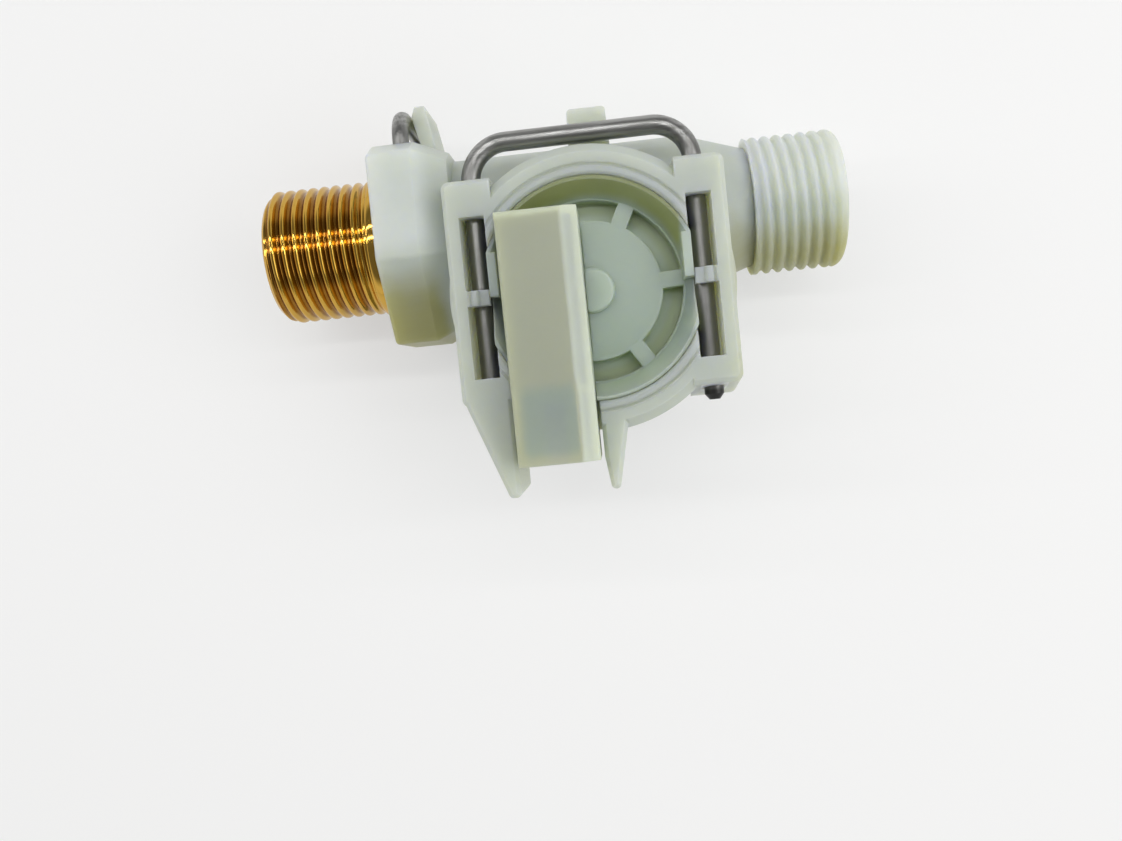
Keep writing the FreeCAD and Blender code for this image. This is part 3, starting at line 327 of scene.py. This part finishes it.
class Recipe:
    """The nodes of a material, or of the world, while they are put together."""

    def __init__(self, owner):
        self.owner = owner
        self.owner.use_nodes = True
        self.tree = owner.node_tree
        self.tree.nodes.clear()

    def node(self, kind, settings, inputs, output=None):
        """A node of any type: its settings first, then its sockets; gives the asked output as a Signal."""
        made = self.tree.nodes.new(kind)
        for name, value in settings.items():
            setattr(made, name, value)
        for name, value in inputs.items():
            socket = made.inputs[name]
            if isinstance(value, Signal):
                self.tree.links.new(value.socket, socket)
            elif socket.type == "RGBA":
                socket.default_value = (*value, 1.0)
            else:
                socket.default_value = value
        return made if output is None else Signal(self, made.outputs[output])

    def millimetres(self):
        """The surface point in the part's frame, in millimetres."""
        return self.node("ShaderNodeTexCoord", {}, {}, "Object") * (1.0 / MM)

    def axes(self, point):
        """The three parts of a vector."""
        made = self.node("ShaderNodeSeparateXYZ", {}, {0: point})
        return [Signal(self, socket) for socket in made.outputs]

    def noise(self, point, scale, detail, roughness):
        """Soft noise from 0 to 1 around 0.5."""
        inputs = {"Vector": point, "Scale": scale, "Detail": detail, "Roughness": roughness}
        return self.node("ShaderNodeTexNoise", {}, inputs, 0)

    def stretched(self, axes, factors, detail, roughness):
        """Soft noise over three values, each times its factor: a small factor draws it out along one."""
        scaled = [value * factor for value, factor in zip(axes, factors)]
        point = self.node("ShaderNodeCombineXYZ", {}, dict(enumerate(scaled)), 0)
        return self.noise(point, 1.0, detail, roughness)

    def bump(self, height, strength, distance, **more):
        """A surface normal tilted by a height, starting from another Normal if one is given."""
        inputs = {"Strength": strength, "Distance": distance, "Height": height, **more}
        return self.node("ShaderNodeBump", {}, inputs, 0)

    def soft_edge(self, radius):
        """The normal with edges rounded by a radius, and how far it turned: 0 on flats, more at edges."""
        rounded = self.node("ShaderNodeBevel", {"samples": 6}, {"Radius": radius}, 0)
        flat = self.node("ShaderNodeNewGeometry", {}, {}, "Normal")
        settings = {"operation": "DOT_PRODUCT"}
        facing = self.node("ShaderNodeVectorMath", settings, {0: rounded, 1: flat}, "Value")
        return rounded, 1.0 - facing

    def close(self, shader, output):
        """Sends a shader to the output node, and gives the finished material or world."""
        self.node(output, {}, {0: shader})
        return self.owner

    def finish(self, **sockets):
        """The surface shader with its constants and links, and the material itself."""
        inputs = {name.replace("_", " "): value for name, value in sockets.items()}
        shader = self.node("ShaderNodeBsdfPrincipled", {}, inputs, 0)
        return self.close(shader, "ShaderNodeOutputMaterial")


def from_axis(across, along):
    """How far a point lies from an axis: the root of the sum of its two squared offsets."""
    return (across * across + along * along).root()


def shaded(tint, share):
    """A colour at a share of its brightness."""
    return tuple(share * part for part in tint)


def moulded_plastic(name, tints, glow, matt, depth, painted_edge_glow=0.8, shade_patch=None):
    """Unpigmented moulding: a cloudy tint, faint flow lines, painted edge glow, a fine matt grain and light
    within.

    tints are its painted-light, usual and painted-shade colours, glow is the share of light that goes into
    it, and
    matt is its mean roughness. depth(x, y, z) places painted light and painted shade at a point in
    millimetres:
    -1 where the painted-light tint goes, 1 where the painted-shade tint goes. The argument after depth is how
    much paler the edges are painted, a painted edge glow. The last argument is one more painted-shade colour
    and, as a function of the point, where it shows.
    """
    edge_radius, light_reach, mottle = 0.35 * MM, 9.0 * MM, 0.9
    lit_tint, usual, shade_tint = tints
    recipe = Recipe(bpy.data.materials.new(name))
    point = recipe.millimetres()
    axes = recipe.axes(point)
    cloud = recipe.noise(point, scale=0.09, detail=4.0, roughness=0.55)
    flow = recipe.stretched(axes, (0.05, 0.05, 0.6), detail=3.0, roughness=0.6)
    grain = recipe.noise(point, scale=5.0, detail=2.0, roughness=0.6)
    scuff = recipe.stretched(axes, (0.35, 2.6, 0.9), detail=4.0, roughness=0.65)
    normal, edge = recipe.soft_edge(edge_radius)
    # Painted light and shade from depth, plus the moulding's own random cloud and flow lines
    share = depth(*axes) + (cloud * 0.7 + flow * 0.3).swing(mottle)
    base = share.step(0.0, 1.0).between(usual, shade_tint)
    # Painted shade: one more shaded tint where its mask shows
    if shade_patch:
        shade, where = shade_patch
        base = where(*axes).between(base, shade)
    # Painted light: the paler tint where depth is below 0, and a painted edge glow on the edges
    pale = (0.0 - share).step(0.0, 1.0).most(edge.step(0.02, 0.35) * painted_edge_glow)
    base = pale.between(base, lit_tint)
    rough = matt + scuff.swing(0.22) + grain.swing(0.10)
    relief = recipe.bump(grain * 0.6 + scuff * 0.4, strength=0.12, distance=0.2 * MM, Normal=normal)
    return recipe.finish(Base_Color=base, Roughness=rough, Normal=relief, IOR=1.5, Subsurface_Weight=glow,
                         Subsurface_Radius=(1.0, 0.95, 0.55), Subsurface_Scale=light_reach)


def body_painted_light_shade(x, y, z):
    """Painted shade on the chamber's upper wall, which faces down, and under the collar and the outlet.

    Painted light on the upper side of the collar and the outlet, and in the cover clip's tracks.
    """
    collar_share, outlet_share, upper_share, track_share = 0.95, 0.75, 0.6, 1.6
    well = from_axis(x, y).fall(*CHAMBER_WALL_R) * z.fall(*CHAMBER_MOUTH_Z)
    wall = well * y.step(*CHAMBER_UPPER_Y)
    beside = x.fall(*COLLAR_SIDE_X)
    collar = beside * y.fall(*COLLAR_UNDER_Y) * collar_share
    outlet = x.step(*NECK_X) * y.fall(*OUTLET_UNDER_Y) * outlet_share
    ends = (beside * z.step(*COLLAR_FRONT_Z)).most(x.step(*OUTLET_X))
    upper = ends * y.step(*UPPER_SIDE_Y) * upper_share
    slot = abs(abs(x) - TRACK_X).fall(*TRACK_EDGE) * y.step(*TRACK_LOW_Y) * y.fall(*TRACK_HIGH_Y)
    track = slot * z.fall(*TRACK_FACE_Z) * z.step(*TRACK_FLOOR_Z) * track_share
    return wall.most(collar).most(outlet) - upper.most(track)


def cover_painted_light_shade(x, y, z):
    """Painted shade on the upper rim, painted light on the lower rim and on the inner side of the pockets."""
    lit_share = 0.7
    radius = from_axis(x, y)
    pocket = radius.fall(*POCKET_INNER_R) * z.fall(*POCKET_Z)
    lower = radius.step(*LOWER_RIM_R) * y.fall(*LOWER_RIM_Y) * z.step(*LOWER_RIM_Z)
    rim = radius.step(*RIM_R) * y.step(*RIM_UPPER_Y) * abs(x).fall(*RIM_SIDE_X)
    return rim * z.step(*RIM_Z) - lower.most(pocket) * lit_share


def cover_pocket_shade_mask(x, y, z):
    """Where the painted olive shade goes: the outer side of the pockets, which lie below the cover's ribs."""
    return from_axis(x, y).step(*POCKET_OUTER_R) * z.fall(*POCKET_Z)


def sensor_painted_light_shade(x, y, z):
    """Painted shade where the socket's hollow lies under the front; painted light along the bevel and the
    upper end.
    """
    end_share = 0.6
    inside = x.step(*SOCKET_LEFT_X) * x.fall(*SOCKET_RIGHT_X)
    socket = inside * y.fall(*SOCKET_TOP_Y) * y.step(*SOCKET_END_Y)
    return socket - x.step(*BEVEL_X).most(y.step(*UPPER_END_Y) * end_share)


def drawn_wire(name, bright, dark, bend, bridge):
    """Drawn spring steel: dark streaks that follow the wire, fine scratches, painted shade on the legs and at
    their ends, a satin gloss.

    The legs run along y up to the bend, two heights in millimetres. The bridge runs along x or z, which is
    axis 0 or 2.
    """
    dense, slow = 1.6, 0.07
    leg_share, leg_shade, end_shade = 0.75, 0.7, 0.2
    recipe = Recipe(bpy.data.materials.new(name))
    axes = recipe.axes(recipe.millimetres())

    def drawn_along(axis):
        """Streaks that are long on one axis and dense across it."""
        factors = [slow if k == axis else dense for k in range(3)]
        return recipe.stretched(axes, factors, detail=5.0, roughness=0.6)

    height = axes[1]
    legs = height.fall(*bend)
    streak = drawn_along(1) * legs + drawn_along(bridge) * (1.0 - legs)
    scratch = recipe.stretched(axes, (9.0, 0.5, 9.0), detail=3.0, roughness=0.7)
    base = streak.step(0.30, 0.66).between(dark, bright)
    # Painted shade: the legs darkened toward a dimmed dark tint
    base = (legs * leg_share).between(base, shaded(dark, leg_shade))
    # Painted shade: darker still at the legs' ends
    base = height.fall(*WIRE_END_Y).between(base, shaded(dark, end_shade))
    rough = 0.34 + streak.swing(-0.20) + scratch.swing(0.14)
    relief = recipe.bump(streak * 0.3 + scratch * 0.7, strength=0.20, distance=0.05 * MM)
    return recipe.finish(Base_Color=base, Metallic=1.0, Roughness=rough, Normal=relief)


def turned_brass(name, bright, dark):
    """Turned brass: fine tool rings round the axis, tarnished roots with painted shade, a clean crest and
    mouth.
    """
    recipe = Recipe(bpy.data.materials.new(name))
    point = recipe.millimetres()
    x, y, z = recipe.axes(point)
    radius = from_axis(y - FLOW_Y / MM, z - FLOW_Z / MM)
    cloud = recipe.noise(point, scale=0.35, detail=4.0, roughness=0.6)
    rings = recipe.stretched((x, radius, cloud), (14.0, 3.0, 0.3), detail=2.0, roughness=0.6)
    # Tarnished roots with painted shade: darker and rougher in the thread's roots, with a random cloud
    root = radius.fall(*THREAD_ROOT_R) * x.step(*MOUTH_FACE_X)
    tarnish_and_shade = (root * 0.85 + cloud.swing(0.6)).step(0.10, 0.90)
    base = tarnish_and_shade.between(bright, dark)
    rough = 0.11 + tarnish_and_shade * 0.06 + rings.swing(0.06)
    relief = recipe.bump(rings, strength=0.06, distance=0.05 * MM)
    return recipe.finish(Base_Color=base, Metallic=1.0, Roughness=rough, Normal=relief)


def plain_finish(name, tint, matt, metal=0.0, speck=0.08):
    """A small inner part's finish: its tint with a soft cloud, a fine grain in gloss and relief.

    matt is its mean roughness, and speck is how strongly the cloud darkens it.
    """
    recipe = Recipe(bpy.data.materials.new(name))
    point = recipe.millimetres()
    cloud = recipe.noise(point, scale=1.2, detail=3.0, roughness=0.55)
    grain = recipe.noise(point, scale=9.6, detail=2.0, roughness=0.6)
    base = cloud.step(0.25, 0.75).between(shaded(tint, 1.0 - 2.5 * speck), tint)
    rough = matt + grain.swing(0.2)
    relief = recipe.bump(grain, strength=0.10, distance=0.1 * MM)
    return recipe.finish(Base_Color=base, Metallic=metal, Roughness=rough, Normal=relief)


def put_on(finish, *nodes):
    """Gives a finish to CAD nodes, by name, or to new pieces, in every material slot they have."""
    for node in nodes:
        piece = frame["nodes"][node] if isinstance(node, str) else node
        if not piece.data.materials:
            piece.data.materials.append(finish)
        for slot in piece.material_slots:
            slot.material = finish


def piece_from(name, points, quads):
    """A mesh object from arrays of points and quads, smooth but for sharp edges.

    The quads are turned over if the volume in them, the sum of a . (b x c) over their triangles, is below 0.
    """
    a, b, c, d = points[quads].transpose(1, 0, 2)
    volume = np.sum(a * np.cross(b, c)) + np.sum(a * np.cross(c, d))
    if volume < 0:
        quads = quads[:, ::-1]
    mesh = bpy.data.meshes.new(name)
    mesh.from_pydata(points, [], quads.tolist())
    mesh.polygons.foreach_set("use_smooth", np.ones(len(mesh.polygons), bool))
    mesh.set_sharp_from_angle(angle=SHARP_ANGLE)
    mesh.update()
    piece = bpy.data.objects.new(name, mesh)
    bpy.context.scene.collection.objects.link(piece)
    return piece


def ring_quads(rows, columns):
    """Quads of a grid that closes on itself both ways.

    Point (i, j) is joined to (i + 1, j), (i + 1, j + 1) and (i, j + 1).
    """
    i, j = np.meshgrid(np.arange(rows), np.arange(columns), indexing="ij")
    after, beside = (i + 1) % rows, (j + 1) % columns
    corners = [i * columns + j, after * columns + j, after * columns + beside, i * columns + beside]
    return np.stack(corners, axis=-1).reshape(-1, 4)


def turns(sides):
    """Equal angles once round, from 0 up to just before 2 pi."""
    return np.arange(sides) * 2.0 * np.pi / sides


def thread_cut(x, turn, pitch, depth, start, end):
    """How deep the thread cuts at place x and turn t, 0 to the full depth.

    The phase is x / pitch - t / (2 pi), so the groove climbs one pitch a turn, right-handed. A triangle wave
    w of the phase, 0 at the crest and 1 at the root and flat for a tenth at both, goes through the smooth
    step 3w^2 - 2w^3, which rounds crest and root. The cut fades in over one pitch at each end.
    """
    flat = 0.10
    phase = np.mod(x / pitch - turn / (2.0 * np.pi), 1.0)
    wave = np.clip((np.abs(2.0 * phase - 1.0) - flat) / (1.0 - 2.0 * flat), 0.0, 1.0)
    tooth = wave * wave * (3.0 - 2.0 * wave)
    ends = np.clip((x - start) / pitch, 0.0, 1.0) * np.clip((end - x) / pitch, 0.0, 1.0)
    return depth * tooth * np.sqrt(ends)


def profile(runs, sides):
    """Places and radii of runs of (places, radii), end to end, the radii repeated for every side."""
    places = np.concatenate([np.asarray(run[0]) for run in runs])
    radii = np.concatenate([np.asarray(run[1]) for run in runs])
    return places, np.repeat(radii[:, None], sides, axis=1)


def turned_piece(name, places, radii):
    """A closed turned body: a profile loop of places and radii, carried round the flow line.

    A point is (x, FLOW_Y + r cos t, FLOW_Z + r sin t), where r may change with the turn t.
    """
    turn = turns(radii.shape[1])
    x = np.broadcast_to(places[:, None], radii.shape)
    points = np.stack([x, FLOW_Y + radii * np.cos(turn), FLOW_Z + radii * np.sin(turn)], axis=-1)
    return piece_from(name, points.reshape(-1, 3), ring_quads(*radii.shape))


class FLOWSWITCH_OT_inlet_nipple(bpy.types.Operator):
    """Makes the brass nipple with its helical thread in place of the plain one"""

    bl_idname = "flow_switch.inlet_nipple"
    bl_label = "Inlet nipple"

    def execute(self, context):
        look = context.scene.flow_switch
        thread, size = look.thread, look.nipple
        steps = int((size.bead_start - size.mouth) / thread.pitch * thread.steps)
        outside = np.linspace(size.mouth, size.bead_start, steps)
        bead_x, bead_r = self.bead(size)
        seat = size.mouth + size.seat_depth
        runs = [
            (outside, np.full(steps, thread.crest)),
            (bead_x, bead_r),
            ([size.bead_end + SLIVER, size.key_end], [size.key_flats / 2, size.key_flats / 2]),
            ([size.key_end + SLIVER], [size.plug_radius]),
            self.groove(size.plug_radius, size.clip_place, size.clip_half, size.clip_root),
            self.groove(size.plug_radius, size.seal_place, size.seal_half, size.seal_root),
            ([size.plug_end - size.plug_bevel, size.plug_end],
             [size.plug_radius, size.plug_radius - size.plug_bevel]),
            ([size.plug_end, size.plug_end - size.bore_bevel],
             [size.bore_radius + size.bore_bevel, size.bore_radius]),
            ([seat + SLIVER, seat], [size.bore_radius, size.bore_radius + SLIVER]),
            ([seat, size.mouth + size.bore_bevel, size.mouth],
             [size.seat_radius, size.seat_radius, size.seat_radius + size.bore_bevel]),
        ]
        places, radii = profile(runs, thread.sides)
        turn = turns(thread.sides)
        cut = thread_cut(outside[:, None], turn, thread.pitch, size.cut, size.mouth - thread.pitch,
                         size.bead_start - RUN_OUT)
        lead = thread.crest - size.chamfer + (outside[:, None] - size.mouth)
        radii[:steps] = np.minimum(thread.crest - cut, lead)
        key = steps + len(bead_x)
        radii[key:key + 2] = self.hexagon(turn, size.key_flats / 2, size.key_corner)
        piece = turned_piece("brass_nipple", places, radii)
        put_on(turned_brass("turned_brass", look.finish.brass, look.finish.brass_dark), piece)
        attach(piece, "housing")
        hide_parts("inlet_nipple")
        return {"FINISHED"}

    def bead(self, size):
        """The places and radii of the bead, over half a turn of an angle b.

        The place is the middle less half the width times cos b. The radius is the bead's own less its drop
        times (1 - root of sin b).
        """
        bend = np.linspace(0.0, np.pi, 13)
        middle = (size.bead_start + size.bead_end) / 2
        half = (size.bead_end - size.bead_start) / 2
        return middle - half * np.cos(bend), size.bead_radius - size.bead_drop * (1.0 - np.sin(bend) ** 0.5)

    def groove(self, outer, middle, half, root):
        """A square groove: down at one side, along its root and up at the other side."""
        places = [middle - half, middle - half + SLIVER, middle + half - SLIVER, middle + half]
        return places, [outer, root, root, outer]

    def hexagon(self, turn, flat, corner):
        """A hexagon's radius, half its flats over the cosine from a side's middle, its corners cut off."""
        side = np.mod(turn, np.pi / 3.0) - np.pi / 6.0
        return np.minimum(flat / np.cos(side), flat + corner)


class FLOWSWITCH_OT_outlet_thread(bpy.types.Operator):
    """Makes the outlet's end with its helical thread in place of the plain one"""

    bl_idname = "flow_switch.outlet_thread"
    bl_label = "Outlet thread"

    def execute(self, context):
        look = context.scene.flow_switch
        thread, size, hue = look.thread, look.outlet, look.finish
        straight = size.end - size.lead
        steps = int((straight - size.start) / thread.pitch * thread.steps)
        outside = np.linspace(size.start, straight, steps)
        bend = np.linspace(0.0, np.pi / 2, 10)[1:]
        runs = [
            (outside, np.full(steps, thread.crest)),
            (straight + size.lead * np.sin(bend), thread.crest - size.lead * (1.0 - np.cos(bend))),
            ([size.end, size.end - size.bevel], [size.bore + size.bevel, size.bore]),
            ([size.start], [size.bore]),
        ]
        places, radii = profile(runs, thread.sides)
        cut = thread_cut(outside[:, None], turns(thread.sides), thread.pitch, size.cut, size.start,
                         straight + RUN_OUT)
        radii[:steps] = thread.crest - cut
        piece = turned_piece("outlet_thread", places, radii)
        # The body's painted-light, usual and painted-shade tints
        tints = (hue.natural_painted_light, hue.natural, hue.natural_painted_shade)
        finish = moulded_plastic("outlet_moulding", tints, glow=1.0, matt=0.55, depth=body_painted_light_shade, painted_edge_glow=0.0)
        put_on(finish, piece)
        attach(piece, "housing")
        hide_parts("outlet_spigot")
        return {"FINISHED"}


class FLOWSWITCH_OT_finishes(bpy.types.Operator):
    """Gives every other piece of the flow switch its finish"""

    bl_idname = "flow_switch.finishes"
    bl_label = "Finishes"

    def execute(self, context):
        hue = context.scene.flow_switch.finish
        natural = (hue.natural_painted_light, hue.natural, hue.natural_painted_shade)
        cover = (hue.cover_painted_light, hue.cover, hue.cover_painted_shade)
        cream = (hue.cream_painted_light, hue.cream, hue.cream_painted_shade)
        # Painted olive shade on the outer side of the cover's pockets
        pockets = (hue.cover_pocket_painted_shade, cover_pocket_shade_mask)
        put_on(moulded_plastic("body_moulding", natural, glow=0.8, matt=0.42, depth=body_painted_light_shade), "meter_body")
        put_on(moulded_plastic("cover_moulding", cover, glow=0.8, matt=0.38, depth=cover_painted_light_shade,
                               shade_patch=pockets), "chamber_cover")
        put_on(moulded_plastic("sensor_moulding", cream, glow=0.6, matt=0.45, depth=sensor_painted_light_shade),
               "sensor_housing", "sensor_back_plate")
        put_on(drawn_wire("cover_wire", hue.wire, hue.wire_dark, COVER_BEND_Y, bridge=0), "cover_clip")
        put_on(drawn_wire("nipple_wire", hue.wire, hue.wire_dark, NIPPLE_BEND_Y, bridge=2), "nipple_clip")
        put_on(plain_finish("seal_rubber", hue.rubber, matt=0.55), "cover_o_ring", "nipple_o_ring")
        put_on(plain_finish("white_moulding", hue.white, matt=0.45, speck=0.03),
               "inlet_filter", "flow_nozzle")
        put_on(plain_finish("rotor_moulding", hue.white, matt=0.40, speck=0.03), "turbine_rotor")
        put_on(plain_finish("ferrite", hue.ferrite, matt=0.6), "rotor_magnets")
        put_on(plain_finish("ground_steel", hue.steel, matt=0.22, metal=1.0), "rotor_shaft")
        put_on(plain_finish("bearing_moulding", hue.bearing, matt=0.4),
               "lower_bush", "upper_bush", "lower_thrust_washer", "upper_thrust_washer")
        put_on(plain_finish("board_lacquer", hue.lacquer, matt=0.35), "sensor_board")
        put_on(plain_finish("chip_moulding", hue.chip, matt=0.4), "hall_sensor", "board_components")
        put_on(plain_finish("bright_tin", hue.tin, matt=0.28, metal=1.0), "connector_pins")
        return {"FINISHED"}


class FLOWSWITCH_OT_stage(bpy.types.Operator):
    """Lays a pale floor, sets soft lamps and places the camera"""

    bl_idname = "flow_switch.stage"
    bl_label = "Stage"

    def execute(self, context):
        stage = context.scene.flow_switch.stage
        strip = (stage.strip_length, stage.strip_width)
        broad = (stage.fill_side, stage.fill_side)
        context.scene.view_settings.view_transform = "Standard"
        self.floor(stage)
        self.room(context.scene, stage)
        self.lamp("near_strip", stage.near_spot, stage.strip, strip)
        self.lamp("far_strip", stage.far_spot, stage.strip, strip)
        self.lamp("broad_lamp", stage.fill_spot, stage.fill, broad)
        self.camera(context.scene, stage)
        return {"FINISHED"}

    def floor(self, stage):
        """A flat square under the part, pale to the eye and in reflections, with the part's shadow kept."""
        recipe = Recipe(bpy.data.materials.new("pale_floor"))
        rays = recipe.node("ShaderNodeLightPath", {}, {})
        eye, glossy, through = [Signal(recipe, rays.outputs[name]) for name in
                                ("Is Camera Ray", "Is Glossy Ray", "Is Transmission Ray")]
        matt = recipe.node("ShaderNodeBsdfDiffuse", {}, {"Color": stage.floor}, 0)
        pale = recipe.node("ShaderNodeEmission", {}, {"Color": (1.0, 1.0, 1.0), "Strength": 1.0}, 0)
        share = (eye + glossy + through).least(1.0) * stage.pale
        mixed = recipe.node("ShaderNodeMixShader", {}, {0: share, 1: matt, 2: pale}, 0)
        mesh = bpy.data.meshes.new("floor")
        corners = np.array([(-1, -1, 0), (1, -1, 0), (1, 1, 0), (-1, 1, 0)]) * stage.floor_reach
        mesh.from_pydata(corners, [], [(0, 1, 2, 3)])
        mesh.materials.append(recipe.close(mixed, "ShaderNodeOutputMaterial"))
        piece = bpy.data.objects.new("floor", mesh)
        bpy.context.scene.collection.objects.link(piece)

    def room(self, scene, stage):
        """Pale light from the horizon, as from the walls of a studio, and less from above."""
        wall_top, ceiling = 0.18, 0.55
        recipe = Recipe(bpy.data.worlds.new("room"))
        toward = recipe.node("ShaderNodeTexCoord", {}, {}, "Generated")
        height = recipe.axes(toward)[2]
        level = height.step(wall_top, ceiling) * (stage.sky - stage.wall) + stage.wall
        light = recipe.node("ShaderNodeBackground", {}, {"Color": (1.0, 1.0, 1.0), "Strength": level}, 0)
        scene.world = recipe.close(light, "ShaderNodeOutputWorld")

    def lamp(self, name, point, power, sides):
        """A flat lamp that faces the part, its first side along the flow line."""
        data = bpy.data.lights.new(name, "AREA")
        data.energy = power
        data.shape = "RECTANGLE"
        data.size, data.size_y = sides
        back = self.unit(np.array(point) - (0.0, 0.0, FLOW_Z))
        right = self.unit(np.cross((0.0, 1.0, 0.0), back))
        self.put(name, data, point, np.stack([right, np.cross(back, right), back], axis=1))

    def camera(self, scene, stage):
        """The photograph's view: nearly straight into the chamber, the flow line rising a little rightwards.

        The part's depth points at its vanishing place in the frame. Its flow line has the frame's slope, made
        square to the depth. Together they turn the part into the camera's axes, and the transpose turns back.
        """
        data = bpy.data.cameras.new("camera")
        data.sensor_width = 36.0
        data.lens = stage.lens
        data.clip_start = 0.005
        data.clip_end = 20.0
        z_axis = self.unit(np.array((*DEPTH_VANISHES, FOCAL_PIXELS)))
        x_axis = np.array((*FLOW_SLOPE, 0.0))
        x_axis[2] = -(x_axis @ z_axis) / z_axis[2]
        x_axis = self.unit(x_axis)
        turn = np.stack([x_axis, np.cross(z_axis, x_axis), z_axis], axis=1)
        seen = np.array((*CHAMBER_SEEN, -FOCAL_PIXELS)) / FOCAL_PIXELS * stage.depth
        point = np.array((0.0, 0.0, FLOW_Z)) - turn.T @ seen
        scene.camera = self.put("camera", data, point, turn.T)

    def unit(self, vector):
        """The vector at length 1."""
        return vector / np.linalg.norm(vector)

    def put(self, name, data, point, turn):
        """A lamp or camera object at a point, its axes the columns of turn."""
        placed = bpy.data.objects.new(name, data)
        placed.matrix_world = Matrix.Translation(point) @ Matrix(turn.tolist()).to_4x4()
        bpy.context.scene.collection.objects.link(placed)
        return placed


class FLOWSWITCH_PT_panel(bpy.types.Panel):
    """Sizes, colours and steps of the flow switch"""

    bl_idname = "FLOWSWITCH_PT_panel"
    bl_label = "Flow switch"
    bl_space_type = "VIEW_3D"
    bl_region_type = "UI"
    bl_category = "Flow switch"

    def draw(self, context):
        look = context.scene.flow_switch
        for group in (look.thread, look.nipple, look.outlet, look.finish, look.stage):
            column = self.layout.column(align=True)
            for name in group.__annotations__:
                column.prop(group, name)
        for step in STEPS:
            self.layout.operator(step.bl_idname)


class FlowSwitchLook(bpy.types.PropertyGroup):
    """All that a user may change."""

    thread: PointerProperty(type=ThreadSizes)
    nipple: PointerProperty(type=NippleSizes)
    outlet: PointerProperty(type=OutletSizes)
    finish: PointerProperty(type=FinishColours)
    stage: PointerProperty(type=StageLook)


GROUPS = (ThreadSizes, NippleSizes, OutletSizes, FinishColours, StageLook, FlowSwitchLook)
STEPS = (FLOWSWITCH_OT_inlet_nipple, FLOWSWITCH_OT_outlet_thread, FLOWSWITCH_OT_finishes, FLOWSWITCH_OT_stage)
CLASSES = (*GROUPS, *STEPS, FLOWSWITCH_PT_panel)


def register():
    """Makes the classes known to Blender and gives the scene its settings."""
    for item in CLASSES:
        bpy.utils.register_class(item)
    bpy.types.Scene.flow_switch = PointerProperty(type=FlowSwitchLook)


def unregister():
    """Takes the settings and the classes away again."""
    del bpy.types.Scene.flow_switch
    for item in reversed(CLASSES):
        bpy.utils.unregister_class(item)


def main():
    """Makes the pieces, the finishes and the stage."""
    register()
    bpy.ops.flow_switch.inlet_nipple()
    bpy.ops.flow_switch.outlet_thread()
    bpy.ops.flow_switch.finishes()
    bpy.ops.flow_switch.stage()


if __name__ == "__main__":
    main()
